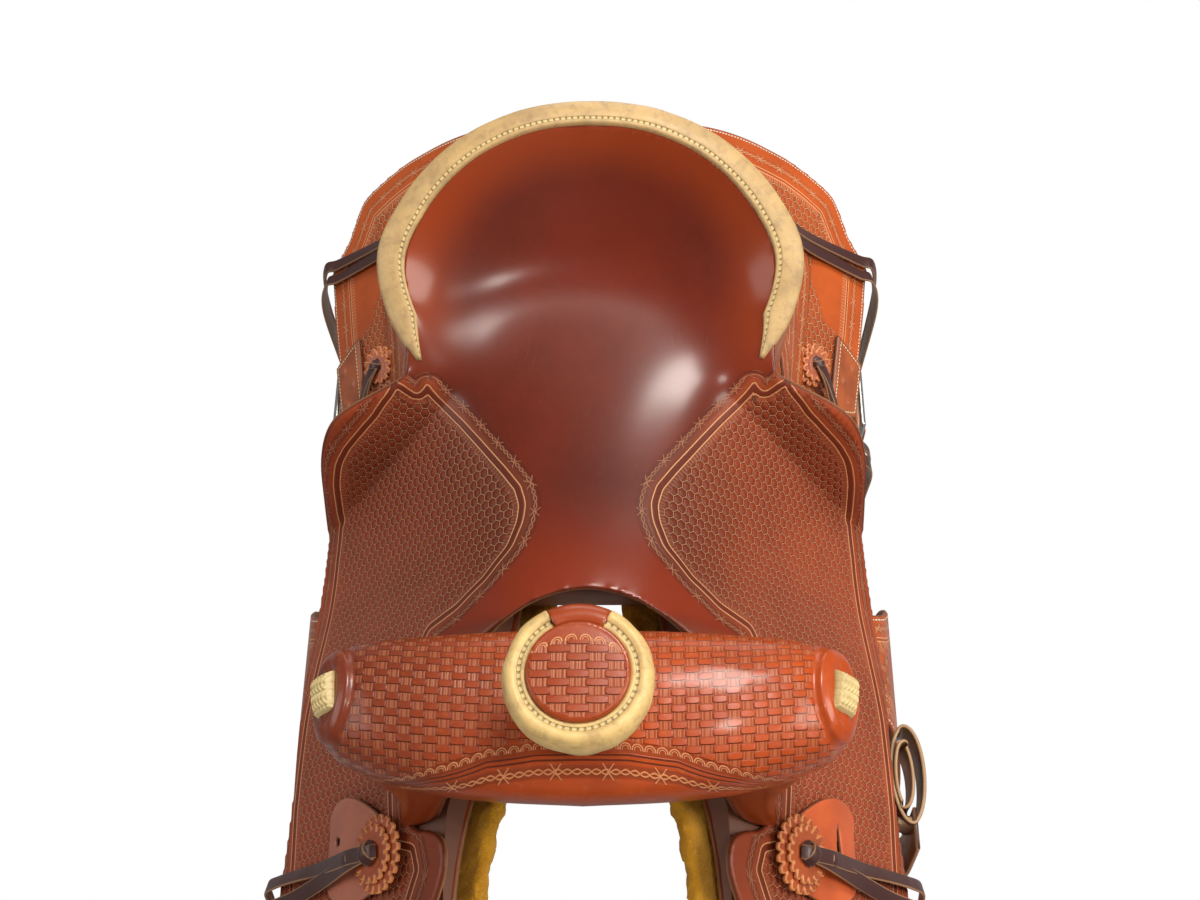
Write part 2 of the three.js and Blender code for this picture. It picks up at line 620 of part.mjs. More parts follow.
// A dee of round rod: straight bar along y at the top, bow hanging below.
function dee({ width, drop, rod }) {
  // [fraction of the width, fraction of the drop]
  const path = [
    [-0.5, 0], [-0.5, 0.5], [-0.46, 0.86], [-0.36, 1], [0, 1],
    [0.36, 1], [0.46, 0.86], [0.5, 0.5], [0.5, 0],
  ].map(([across, down]) => vec(0, width * across, -drop * down));
  const bow = new THREE.ExtrudeGeometry(polygon(ovalPoints(0, 0, rod, rod, 6)), {
    steps: 12,
    bevelEnabled: false,
    extrudePath: new THREE.CatmullRomCurve3(path, false, 'centripetal'),
  });
  return join(outward(bow), rodY(rod, width + 2 * rod, 8));
}
const frontDeeAt = onSkirt(FRONT_DEE.y, FRONT_DEE.s, -1);
const flankDeeAt = onSkirt(FLANK_DEE.y, FLANK_DEE.s, -1);
pair('front_dee', dee(FRONT_DEE).translate(...frontDeeAt), MAT.steel);
pair('flank_dee', dee(FLANK_DEE).translate(...flankDeeAt), MAT.steel);

// A strap that passes over the bow of a dee, both ends hanging.
function deeStrap({ dee: { y, drop }, at, gap, thick, innerEnd, outerEnd }) {
  const x = at.x, z = at.z - drop + 0.6, halfWidth = 19, section = new THREE.Shape();
  section.moveTo(x - gap - thick, innerEnd);
  section.lineTo(x - gap - thick, z);
  section.absarc(x, z, gap + thick, Math.PI, 0, true);
  section.lineTo(x + gap + thick, outerEnd);
  section.lineTo(x + gap, outerEnd);
  section.lineTo(x + gap, z);
  section.absarc(x, z, gap, 0, Math.PI, false);
  section.lineTo(x - gap, innerEnd);
  return sweepY(section, y - halfWidth, y + halfWidth);
}
const FRONT_STRAP = { dee: FRONT_DEE, at: frontDeeAt, gap: 4.2, thick: 3.6 };

// An oval ring of strap, standing along z.
function coilRing({ x, y, halfX, halfY, thick, z0, z1 }) {
  const ring = polygon(ovalPoints(x, y, halfX, halfY, 18));
  const inside = ovalPoints(x, y, halfX - thick, -(halfY - thick), 18);
  ring.holes.push(new THREE.Path(toPoints(inside)));
  return outward(extrude(ring, z1 - z0).translate(0, 0, z0));
}
// Near side: the latigo passes round the dee and the rest is stowed in a coil.
function makeLatigo() {
  const { x, z: barZ } = frontDeeAt, y = FRONT_DEE.y;
  const wrap = deeStrap({ ...FRONT_STRAP, innerEnd: -372, outerEnd: -372 });
  const rise = strap([
    [vec(x + 6, y, barZ - FRONT_DEE.drop - 6), OUT_X],
    [vec(x + 7.5, y, -312), OUT_X],
    [vec(x + 9, y, -262), OUT_X],
    [vec(x + 7, y + 1, -182), OUT_X],
  ], 36, 4, 1);
  const coil = join(
    coilRing({ x: 258, y: -159, halfX: 15, halfY: 42, thick: 4, z0: -219, z1: -181 }),
    coilRing({ x: 254.5, y: -160, halfX: 8.6, halfY: 28, thick: 3.6, z0: -216, z1: -178 }),
    box(243.4, 247.4, -167, -151, -216, -184),
  );
  const tie = box(246, x + 8, -203, -190, -214, -186);
  return join(wrap, rise, coil, tie);
}
node('latigo_left', makeLatigo(), MAT.latigo);
const offBillet = deeStrap({ ...FRONT_STRAP, innerEnd: -440, outerEnd: -420 });
node('off_billet_right', mirror(offBillet), MAT.latigo);
pair('flank_billet', deeStrap({
  dee: FLANK_DEE, at: flankDeeAt, gap: 4, thick: 4, innerEnd: -470, outerEnd: -430,
}), MAT.natural);

// ---- stirrup leathers and fenders ----
const LEATHER_HALF = 30;       // half width of the stirrup leather
const LEATHER_THICK = 7;
// Path of the hanging strap as [z, x], from the bar down to the bolt.
const HANG = [
  ...[118, 140, 165, 190, 215].map((s) => {
    const point = side(FENDER_Y, s, 38 - (s - 118) * 0.08);
    return [point.z, point.x];
  }),
  [-238, STIRRUP_X - 13], [-268, STIRRUP_X - 4], [-300, STIRRUP_X], [-330, STIRRUP_X],
  [BOLT_Z, STIRRUP_X],
].sort((a, b) => b[0] - a[0]);
const hangX = straight([...HANG].reverse());
// A point off the middle of the hanging strap.
function onHang(y, z, offset) {
  const normal = vec(1, 0, -(hangX(z + 3) - hangX(z - 3)) / 6).normalize();
  return vec(hangX(z), y, z).addScaledVector(normal, offset);
}

function makeStirrupLeather() {
  const stations = [...HANG.slice(0, -1).map(([z]) => z), BOLT_Z + 22];
  const y0 = FENDER_Y - LEATHER_HALF, y1 = FENDER_Y + LEATHER_HALF;
  const hanging = stationSheet([y0, y1], stations, (y, z, w) =>
    onHang(y, z, (w - 0.5) * LEATHER_THICK));
  const eye = new THREE.Shape();
  eye.absarc(STIRRUP_X, BOLT_Z, 10.5, Math.PI, 2 * Math.PI, false);
  eye.lineTo(STIRRUP_X + LEATHER_THICK / 2, BOLT_Z + 24);
  eye.lineTo(STIRRUP_X - LEATHER_THICK / 2, BOLT_Z + 24);
  const boltHole = new THREE.Path();
  boltHole.absarc(STIRRUP_X, BOLT_Z, BOLT_RADIUS + 1.4, 0, 2 * Math.PI, true);
  eye.holes.push(boltHole);
  return join(hanging, sweepY(eye, y0, y1));
}
pair('stirrup_leather', makeStirrupLeather(), MAT.russet);

// [z, half width]
const fenderHalf = smooth([
  [-440, 44], [-432, 70], [-410, 92], [-370, 99], [-320, 92],
  [-270, 70], [-225, 46], [-180, 38], [-120, 37],
]);
const FENDER_Z = [
  -122, -142, -165, -190, -215, -238, -268, -300, -330, -370, -410, -430, -440,
];
pair('fender', stationSheet([-1, -0.5, 0, 0.5, 1], FENDER_Z, (across, z, w) =>
  onHang(FENDER_Y + across * fenderHalf(z), z, 5 + w * 4)), MAT.russet);

// A band round the stirrup leather, above the bolt.
function makeHobbleStrap() {
  const halfX = LEATHER_THICK / 2 + 0.6, halfY = LEATHER_HALF + 0.6;
  const z0 = BOLT_Z + 30, z1 = BOLT_Z + 48;
  const block = (thick, extra) => box(
    STIRRUP_X - halfX - thick, STIRRUP_X + halfX + thick,
    FENDER_Y - halfY - thick, FENDER_Y + halfY + thick,
    z0 - extra, z1 + extra,
  );
  return cut(block(2.6, 0), block(0, 5));
}
pair('hobble_strap', makeHobbleStrap(), MAT.latigo);

// ---- stirrups, built about the bolt ----
const atBolt = (geometry) => outward(geometry.clone().translate(STIRRUP_X, FENDER_Y, BOLT_Z));
// Seen along x, as [y, z]: down and up the outside, then back round the inside.
const FRAME_OUTLINE = [
  [-34, 13], [-43, 13],
  [-46, -30, -78, -60, -78, -118], [-78, -136, -70, -148, -54, -148], [54, -148],
  [70, -148, 78, -136, 78, -118], [78, -60, 46, -30, 43, 13], [34, 13],
  [33, -8], [38, -40, 68, -62, 68, -116], [68, -130, 64, -138, 52, -138],
  [-52, -138], [-64, -138, -68, -130, -68, -116], [-68, -62, -38, -40, -33, -8],
];
// Seen along y, as [x, z]: wide at the tread and narrow at the neck.
const FRAME_TAPER = [
  [-38, -160], [38, -160], [38, -110], [17, 0], [17, 20], [-17, 20], [-17, 0], [-38, -110],
];
function makeStirrup() {
  // Turns (x, y, z) to (z, x, y).
  const turn = new THREE.Matrix4().set(0, 0, 1, 0, 1, 0, 0, 0, 0, 1, 0, 0, 0, 0, 0, 1);
  const outline = extrude(trace(...FRAME_OUTLINE), 76, 6).translate(0, 0, -38);
  const frame = overlap(
    outward(outline.applyMatrix4(turn)), sweepY(polygon(FRAME_TAPER), -100, 100),
  );
  return atBolt(cut(frame, rodY(BOLT_RADIUS + 0.4, 120, 12)));
}
pair('stirrup', makeStirrup(), MAT.natural);
pair('stirrup_tread', atBolt(box(-35, 35, -50, 50, -137.6, -134)), MAT.latigo);
pair('stirrup_bolt', atBolt(join(
  rodY(BOLT_RADIUS, 104, 12),
  rodY(9, 4, 6).translate(0, 52, 0),
  rodY(9, 4, 6).translate(0, -52, 0),
)), MAT.steel);

// ---- rosettes, keepers and strings ----
function rosette({ radius, points, notch, thick }) {
  const count = points * 2;
  return extrude(polygon(Array.from({ length: count }, (_, i) => {
    const angle = (i / count) * 2 * Math.PI, r = i % 2 ? radius - notch : radius;
    return [r * Math.cos(angle), r * Math.sin(angle)];
  })), thick);
}
// A knot with tails, each a list of strap rows.
function string(knot, normal, ...tails) {
  return join(
    place(rodZ(8, 7, 10), knot, normal),
    ...tails.map((rows) => strap(rows, 10, 2.6)),
  );
}

// Front rosettes lie on the jockeys, over the keepers.
const FRONT_X = 148, FRONT_Y = -257;
const frontNormal = seatNormal(FRONT_X, FRONT_Y);
const onFront = (offset) => onSeat(FRONT_X, FRONT_Y, offset);

function keeper(...holes) {
  const shape = trace(
    [-14, -14], [10, -34, 40, -44, 62, -34], [82, -26, 92, -8, 88, 12],
    [84, 34, 56, 46, 30, 38], [10, 32, -4, 24, -14, 14],
  );
  shape.holes.push(...holes);
  return place(extrude(shape, 3, 5), onFront(2.2), frontNormal, vec(1, 0.3, -1.1));
}
const keeperSlit = new THREE.Path(toPoints([[50, -18], [54, -18], [54, 20], [50, 20]]));
const keeperHoles = [-7, 8].map((y) => new THREE.Path().absarc(62, y, 3, 0, 2 * Math.PI, true));
node('latigo_keeper_left', keeper(keeperSlit), MAT.tan);
node('rope_keeper_right', mirror(keeper(...keeperHoles)), MAT.tan);

const FRONT_ROSETTE = { radius: 28.5, points: 18, notch: 2.2, thick: 3.6 };
const FRONT_ROSETTE_TOP = { radius: 21.5, points: 14, notch: 2, thick: 3.6 };
pair('front_rosette', place(rosette(FRONT_ROSETTE), onFront(6), frontNormal), MAT.russet);
pair('front_rosette_top', place(rosette(FRONT_ROSETTE_TOP), onFront(10), frontNormal), MAT.russet);

// Rear rosettes stand on the skirts behind the jockeys.
const REAR_X = 193, REAR_Y = 213;
const rearS = sAtX(REAR_X, REAR_Y, () => SKIRT_TOP);
const rearAt = onSkirt(REAR_Y, rearS, 1), rearNormal = skirtNormal(REAR_Y, rearS);
const onRear = (offset) => rearAt.clone().addScaledVector(rearNormal, offset);
const REAR_ROSETTE = { radius: 17, points: 14, notch: 2, thick: 6 };
pair('rear_rosette', place(rosette(REAR_ROSETTE), rearAt, rearNormal), MAT.russet);

// Each tail drifts along y by its shift and hangs to endZ.
const frontTail = (shift, endZ) => [
  [onFront(17), frontNormal],
  [onSeat(FRONT_X + 22, FRONT_Y + shift * 0.3, 15), frontNormal],
  [onSeat(FRONT_X + 52, FRONT_Y + shift * 0.6, 9), frontNormal],
  [onSeat(222, FRONT_Y + shift * 0.9, 8), frontNormal],
  [onSeat(243, FRONT_Y + shift, 7), vec(0.85, 0, 0.5)],
  [vec(262, FRONT_Y + shift, -190), vec(1, 0, 0.15)],
  [vec(268, FRONT_Y + shift, -240), OUT_X],
  [vec(272, FRONT_Y + shift, endZ), OUT_X],
];
pair('front_string', string(
  onFront(18), frontNormal, frontTail(4, -420), frontTail(-16, -400),
), MAT.latigo);

function rearTail(shift, endZ) {
  const edgeX = onSkirt(REAR_Y, 273, 0).x, y = REAR_Y + shift;
  return [
    [onRear(9), rearNormal],
    [onSkirt(REAR_Y + shift * 0.5, rearS + 24, 9), vec(0.75, 0, 0.6)],
    [onSkirt(REAR_Y + shift * 0.85, rearS + 48, 8), vec(0.8, 0, 0.55)],
    [onSkirt(y, 262, 8), vec(0.9, 0, 0.4)],
    [vec(edgeX + 12, y, -240), OUT_X],
    [vec(edgeX + 10, y, endZ), OUT_X],
  ];
}
pair('rear_string', string(
  onRear(9.6), rearNormal, rearTail(-44, -430), rearTail(-58, -410),
), MAT.latigo);

// Cantle rosettes lie over the rear jockeys.
const cantleAt = overBar(316, 108, 10), cantleNormal = skirtNormal(316, 108);
const onCantle = (offset) => cantleAt.clone().addScaledVector(cantleNormal, offset);
const CANTLE_ROSETTE = { radius: 14, points: 12, notch: 1.6, thick: 5 };
pair('cantle_rosette', place(rosette(CANTLE_ROSETTE), cantleAt, cantleNormal), MAT.russet);

function cantleTail(shift, endZ) {
  const edgeX = onSkirt(340, 268, 0).x;
  return [
    [onCantle(8), cantleNormal],
    [overBar(320 + shift * 0.5, 133, 19), vec(0.6, 0, 0.75)],
    [overBar(326 + shift * 0.7, 168, 8), vec(0.6, 0, 0.75)],
    [onSkirt(333 + shift * 0.8, 206, 4), vec(0.7, 0, 0.7)],
    [onSkirt(338 + shift, 252, 4), vec(0.75, 0, 0.6)],
    [onSkirt(339 + shift, 268, 7), vec(0.9, 0, 0.4)],
    [vec(edgeX + 12, 338 + shift, -222), OUT_X],
    [vec(edgeX + 9, 330 + shift, endZ), OUT_X],
  ];
}
pair('cantle_string', string(
  onCantle(9), cantleNormal, cantleTail(6, -430), cantleTail(-8, -400),
), MAT.latigo);

export default root;
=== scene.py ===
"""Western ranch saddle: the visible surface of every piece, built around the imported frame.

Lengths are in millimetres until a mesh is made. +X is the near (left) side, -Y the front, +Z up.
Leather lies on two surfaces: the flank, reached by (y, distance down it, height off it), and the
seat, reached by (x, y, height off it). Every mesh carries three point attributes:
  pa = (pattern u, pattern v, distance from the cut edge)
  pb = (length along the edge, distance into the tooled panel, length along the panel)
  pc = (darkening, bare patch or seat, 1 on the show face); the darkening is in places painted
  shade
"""
import json
import math
from math import pi

import bpy
import numpy as np
from mathutils import Matrix, Vector


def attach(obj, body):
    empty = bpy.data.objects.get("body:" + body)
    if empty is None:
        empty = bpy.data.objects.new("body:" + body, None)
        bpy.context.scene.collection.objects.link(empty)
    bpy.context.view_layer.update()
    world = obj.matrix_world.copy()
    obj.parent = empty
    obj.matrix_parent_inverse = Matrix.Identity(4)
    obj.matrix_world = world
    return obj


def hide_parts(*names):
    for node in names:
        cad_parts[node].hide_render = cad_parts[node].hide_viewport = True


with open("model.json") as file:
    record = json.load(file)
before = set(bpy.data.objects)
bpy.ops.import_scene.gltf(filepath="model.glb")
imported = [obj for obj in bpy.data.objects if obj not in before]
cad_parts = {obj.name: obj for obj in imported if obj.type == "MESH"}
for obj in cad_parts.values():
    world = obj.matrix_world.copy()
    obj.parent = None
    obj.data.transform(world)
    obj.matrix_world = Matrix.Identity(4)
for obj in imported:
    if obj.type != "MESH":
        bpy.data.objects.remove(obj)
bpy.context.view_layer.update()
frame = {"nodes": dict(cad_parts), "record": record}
BODY = {n: body for body, nodes in frame["record"]["behaviour"]["bodies"].items() for n in nodes}
MM = 0.001
FAR = 20.0  # attribute value for "well away from any edge or panel line"


# ---- small maths ----------------------------------------------------------------------------
def smooth_curve(stations):
    """Cubic through (place, value) stations, held level past both ends."""
    xs, ys = np.array(stations, float).T
    gaps = np.diff(xs)
    rises = np.diff(ys) / gaps
    slopes = np.zeros(len(xs))
    slopes[0], slopes[-1] = rises[0], rises[-1]
    slopes[1:-1] = (rises[:-1] * gaps[1:] + rises[1:] * gaps[:-1]) / (gaps[:-1] + gaps[1:])

    def curve(x):
        x = np.clip(np.asarray(x, float), xs[0], xs[-1])
        i = np.clip(np.searchsorted(xs, x, side="right") - 1, 0, len(xs) - 2)
        gap = xs[i + 1] - xs[i]
        t = (x - xs[i]) / gap
        t2, t3 = t * t, t * t * t
        return (
            (2 * t3 - 3 * t2 + 1) * ys[i] + (t3 - 2 * t2 + t) * gap * slopes[i]
            + (3 * t2 - 2 * t3) * ys[i + 1] + (t3 - t2) * gap * slopes[i + 1]
        )

    return curve


def straight_curve(stations):
    xs, ys = np.array(stations, float).T
    return lambda x: np.interp(x, xs, ys)


def ease(low, high, x):
    """0 below low, 1 above high, smooth between."""
    t = np.clip((np.asarray(x, float) - low) / (high - low), 0, 1)
    return t * t * (3 - 2 * t)


def unit(v):
    v = np.asarray(v, float)
    return v / np.maximum(np.linalg.norm(v, axis=-1, keepdims=True), 1e-9)


def xyz(x, y, z):
    return np.stack(np.broadcast_arrays(*(np.asarray(part, float) for part in (x, y, z))), -1)


def lengths_along(points):
    """Running length of a line at each of its points."""
    steps = np.linalg.norm(np.diff(points, axis=0), axis=1)
    return np.concatenate([[0], np.cumsum(steps)])


LATTICE = np.random.default_rng(11).random((64, 64, 64))


def noise_at(points, size):
    """Smooth value noise from 0 to 1, with features of the given size."""
    scaled = np.asarray(points, float) / size
    cell = np.floor(scaled).astype(int)
    part = scaled - cell
    part = part * part * (3 - 2 * part)
    total = 0
    for corner in np.ndindex(2, 2, 2):
        weight = np.where(corner, part, 1 - part).prod(-1)
        total = total + weight * LATTICE[tuple(np.moveaxis((cell + corner) % 64, -1, 0))]
    return total


# ---- the flank: skirt and tree bars ---------------------------------------------------------
# Each curve is a list of (y, value). Angles are degrees of the surface normal from +Z.
BEND_LENGTH = 420.0  # distance down over which the normal turns from top_angle to low_angle
top_angle = smooth_curve([(-340, 52), (-200, 48), (0, 44), (150, 39), (300, 33), (400, 31)])
low_angle = smooth_curve([(-340, 70), (0, 66), (200, 61), (400, 54)])
flank_x = smooth_curve([
    (-340, 80), (-250, 72), (-150, 48), (-50, 34), (100, 32), (300, 38), (400, 44)])
flank_z = smooth_curve([
    (-340, -52), (-250, -42), (-120, -36), (0, -35), (110, -38), (250, -34), (400, -26)])

SKIRT_BASE, SKIRT_THICK = 14.9, 5.5
SKIRT_TOP = SKIRT_BASE + SKIRT_THICK
BAR_BASE = 21.8
# thickness of a tree bar by distance down, and its fading by y
bar_by_down = straight_curve([
    (4, 18), (24, 24), (42, 25), (90, 25), (138, 15), (165, 4.5), (200, 0)])
bar_by_y = straight_curve([
    (-345, 0), (-300, 0.3), (-250, 0.8), (-190, 1), (200, 1), (270, 0.8), (318, 0.3), (360, 0)])


def flank(y, down, height):
    start = np.radians(top_angle(y))
    rate = (np.radians(low_angle(y)) - start) / BEND_LENGTH
    tilt = start + rate * down
    return xyz(
        flank_x(y) + (np.sin(tilt) - np.sin(start)) / rate + height * np.sin(tilt),
        y,
        flank_z(y) + (np.cos(tilt) - np.cos(start)) / rate + height * np.cos(tilt),
    )


def bar_top(y, down):
    y, down = np.asarray(y, float), np.asarray(down, float)
    limit = np.where((y > -152) & (y < 52) & (down > 95), 5, 99)
    return BAR_BASE + np.minimum(bar_by_down(np.maximum(down, 4)) * bar_by_y(y), limit)


def on_skirt(y, down, off):
    return flank(y, down, SKIRT_TOP + off)


def on_bar(y, down, off):
    return flank(y, down, bar_top(y, down) + off)


def skirt_normal(y, down):
    across = on_skirt(y, down + 2, 0) - on_skirt(y, down - 2, 0)
    along = on_skirt(y + 2, down, 0) - on_skirt(y - 2, down, 0)
    normal = unit(np.cross(along, across))
    return np.where(normal[..., :1] < 0, -normal, normal)


def down_at(x, y, surface, halvings):
    """Distance down at which surface(y, down, 0) reaches x."""
    x, y = np.broadcast_arrays(np.asarray(x, float), np.asarray(y, float))
    low, high = np.full(x.shape, -30.0), np.full(x.shape, 415.0)
    for _ in range(halvings):
        mid = (low + high) / 2
        short = surface(y, mid)[..., 0] < x
        low, high = np.where(short, mid, low), np.where(short, high, mid)
    return low


def skirt_down_at(x, y, off):
    return float(down_at(x, y, lambda y, down: on_skirt(y, down, off), 40))


def bar_z(x, y):
    """Height of the top of the tree bar over a place in plan."""
    down = down_at(x, y, lambda y, down: on_bar(y, down, 0), 34)
    return on_bar(y, down, 0)[..., 2]


# ---- the seat and the cantle rim ------------------------------------------------------------
RIM_Y = 135.0  # centre of the cantle's arc in plan; its angles are degrees from +Y
ROLL_WIDTH = 25.0
SIDE_FALL = 1.11  # slope of the seat outside its level middle
SIDE_SOFT = 16.0  # softness of the turn into that slope
# (y, height) and (y, half width) of the level middle
seat_middle_z = smooth_curve([
    (-340, 34), (-250, 44), (-180, 54), (-92, 52), (-40, 42), (20, 31), (80, 24), (130, 22),
    (200, 24), (280, 30)])
seat_half = smooth_curve([
    (-340, 52), (-250, 56), (-100, 60), (-20, 60), (60, 88), (110, 118), (150, 140), (300, 150)])
# (angle, value): the rim's radius and height, and the width of the dish inside it
rim_radius = smooth_curve([
    (0, 161), (21.4, 164.3), (42.2, 171.3), (59, 177), (73, 177.8), (84.7, 163.7), (99.5, 139),
    (115, 118)])
rim_z = smooth_curve([
    (0, 124), (21.4, 121), (42.2, 108), (59, 88), (73, 68), (84.7, 46), (99.5, 28), (115, 20)])
dish_width = smooth_curve([(0, 88), (60, 78), (85, 58), (100, 38), (115, 25)])


def seat_z(x, y):
    x, y = np.abs(np.asarray(x, float)), np.asarray(y, float)
    u = (x - seat_half(y)) / SIDE_SOFT
    bend = np.where(u > 30, u, np.log1p(np.exp(np.minimum(u, 30))))
    z = seat_middle_z(y) - SIDE_SOFT * SIDE_FALL * bend
    angle, radius = np.degrees(np.arctan2(x, y - RIM_Y)), np.hypot(x, y - RIM_Y)
    t = np.clip((rim_radius(angle) - ROLL_WIDTH - radius) / dish_width(angle), 0, 1)
    climb = np.maximum(rim_z(angle) - 1 - z, 0) * (1 - t) ** 2.3
    return z + np.where(angle < 115, np.clip((113 - angle) / 10, 0, 1) * climb, 0)


def seat_normal(x, y):
    step = 1.5
    return unit(xyz(
        -(seat_z(x + step, y) - seat_z(x - step, y)) / (2 * step),
        -(seat_z(x, y + step) - seat_z(x, y - step)) / (2 * step),
        1.0,
    ))


def on_seat(x, y, off):
    return xyz(x, y, seat_z(x, y)) + seat_normal(x, y) * np.asarray(off, float)[..., None]


def arc_point(angle, radius, z):
    """A point by angle and radius about the centre of the cantle's arc."""
    angle = np.radians(angle)
    return xyz(radius * np.sin(angle), RIM_Y + radius * np.cos(angle), z)


# ---- pieces ---------------------------------------------------------------------------------
class Piece:
    """Points, faces and point attributes that can be joined and mirrored."""

    def __init__(self, verts, faces, pa, pb, pc, oriented=False):
        self.verts = np.asarray(verts, float)
        self.faces = faces
        self.pa, self.pb, self.pc = (np.asarray(values, float) for values in (pa, pb, pc))
        if not oriented:
            self.face_outward()

    def face_outward(self):
        tris = np.array([(f[0], f[i], f[i + 1]) for f in self.faces for i in range(1, len(f) - 1)])
        one, two, three = (self.verts[tris[:, k]] - self.verts.mean(0) for k in range(3))
        if np.einsum("ij,ij->i", one, np.cross(two, three)).sum() < 0:
            self.faces = [f[::-1] for f in self.faces]

    def __add__(self, other):
        shift = len(self.verts)
        faces = self.faces + [tuple(i + shift for i in f) for f in other.faces]
        verts, pa, pb, pc = (
            np.concatenate([getattr(self, key), getattr(other, key)])
            for key in ("verts", "pa", "pb", "pc"))
        return Piece(verts, faces, pa, pb, pc, oriented=True)

    def mirrored(self):
        verts = self.verts * np.array([-1, 1, 1])
        faces = [f[::-1] for f in self.faces]
        return Piece(verts, faces, self.pa, self.pb, self.pc, oriented=True)

    def build(self, name, material):
        mesh = bpy.data.meshes.new(name)
        mesh.from_pydata((self.verts * MM).tolist(), [], self.faces)
        mesh.polygons.foreach_set("use_smooth", [True] * len(mesh.polygons))
        for key in ("pa", "pb", "pc"):
            layer = mesh.attributes.new(key, "FLOAT_VECTOR", "POINT")
            values = np.ascontiguousarray(getattr(self, key), np.float32)
            layer.data.foreach_set("vector", values.ravel())
        mesh.update()
        ob = bpy.data.objects.new(name, mesh)
        bpy.context.scene.collection.objects.link(ob)
        mesh.materials.append(material)
        return ob


def put(piece, name, node, material):
    """Makes the object and ties it to the frame node it replaces."""
    ob = piece.build(name, material)
    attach(ob, BODY[node])
    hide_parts(node)


def put_pair(piece, name, node, material):
    put(piece, name + "_left", node + "_left", material)
    put(piece.mirrored(), name + "_right", node + "_right", material)


# ---- lines and outlines ---------------------------------------------------------------------
def resample(points, step, closed=True):
    points = np.asarray(points, float)
    if closed:
        points = np.vstack([points, points[:1]])
    length = lengths_along(points)
    count = max(2, int(round(length[-1] / step)))
    t = np.linspace(0, length[-1], count + 1)
    out = np.stack([np.interp(t, length, column) for column in points.T], 1)
    return out[:-1] if closed else out


def rounded(points, times=2):
    """Corner cutting of a closed outline."""
    points = np.asarray(points, float)
    for _ in range(times):
        after = np.roll(points, -1, 0)
        cut = [0.75 * points + 0.25 * after, 0.25 * points + 0.75 * after]
        points = np.stack(cut, 1).reshape(-1, points.shape[1])
    return points


def spline(points, step=4.0, closed=False):
    """Catmull-Rom curve through points, evenly resampled."""
    points = np.asarray(points, float)
    if closed:
        points = np.vstack([points[-1:], points, points[:2]])
    else:
        points = np.vstack([2 * points[0] - points[1], points, 2 * points[-1] - points[-2]])
    t = np.linspace(0, 1, 14, endpoint=False)[:, None]
    out = []
    for p0, p1, p2, p3 in zip(points, points[1:], points[2:], points[3:]):
        out.append(0.5 * (2 * p1 + (p2 - p0) * t + (2 * p0 - 5 * p1 + 4 * p2 - p3) * t**2
                          + (3 * p1 - p0 - 3 * p2 + p3) * t**3))
    out = np.vstack(out + [points[-2:-1]])
    return resample(out[:-1] if closed else out, step, closed)


def bezier(p0, p1, p2, p3, count):
    t = np.linspace(0, 1, count)[:, None]
    p0, p1, p2, p3 = (np.array(p, float) for p in (p0, p1, p2, p3))
    return ((1 - t) ** 3 * p0 + 3 * (1 - t) ** 2 * t * p1 + 3 * (1 - t) * t * t * p2
            + t**3 * p3)


def nearest(points, loop):
    """Distance to a closed line in 2D or 3D, length along it, and the nearest place on it."""
    steps = np.roll(loop, -1, 0) - loop
    squares = (steps**2).sum(1) + 1e-12
    sizes = np.sqrt(squares)
    starts = np.concatenate([[0], np.cumsum(sizes)])[:-1]
    dist, along, spot = np.zeros(len(points)), np.zeros(len(points)), np.zeros(points.shape)
    chunk = max(1, int(2.5e6 // len(loop)))
    for i in range(0, len(points), chunk):
        part = slice(i, i + chunk)
        gaps = [points[part, k, None] - loop[:, k] for k in range(loop.shape[1])]
        t = np.clip(sum(gap * steps[:, k] for k, gap in enumerate(gaps)) / squares, 0, 1)
        away = sum((gap - t * steps[:, k]) ** 2 for k, gap in enumerate(gaps))
        best = away.argmin(1)
        row = np.arange(len(best))
        t = t[row, best]
        dist[part] = np.sqrt(away[row, best])
        along[part] = starts[best] + t * sizes[best]
        spot[part] = loop[best] + t[:, None] * steps[best]
    return dist, along, spot


def inside(points, loop):
    """Even-odd test of points against a closed outline."""
    x, y = points.T
    found = np.zeros(len(points), bool)
    for (ax, ay), (bx, by) in zip(loop, np.roll(loop, -1, 0)):
        if ay != by:
            reach = ax + (y - ay) * (bx - ax) / (by - ay)
            found ^= ((ay > y) != (by > y)) & (x < reach)
    return found


# ---- piece builders -------------------------------------------------------------------------
def face_list(*blocks):
    return [tuple(f) for block in blocks for f in block.tolist()]


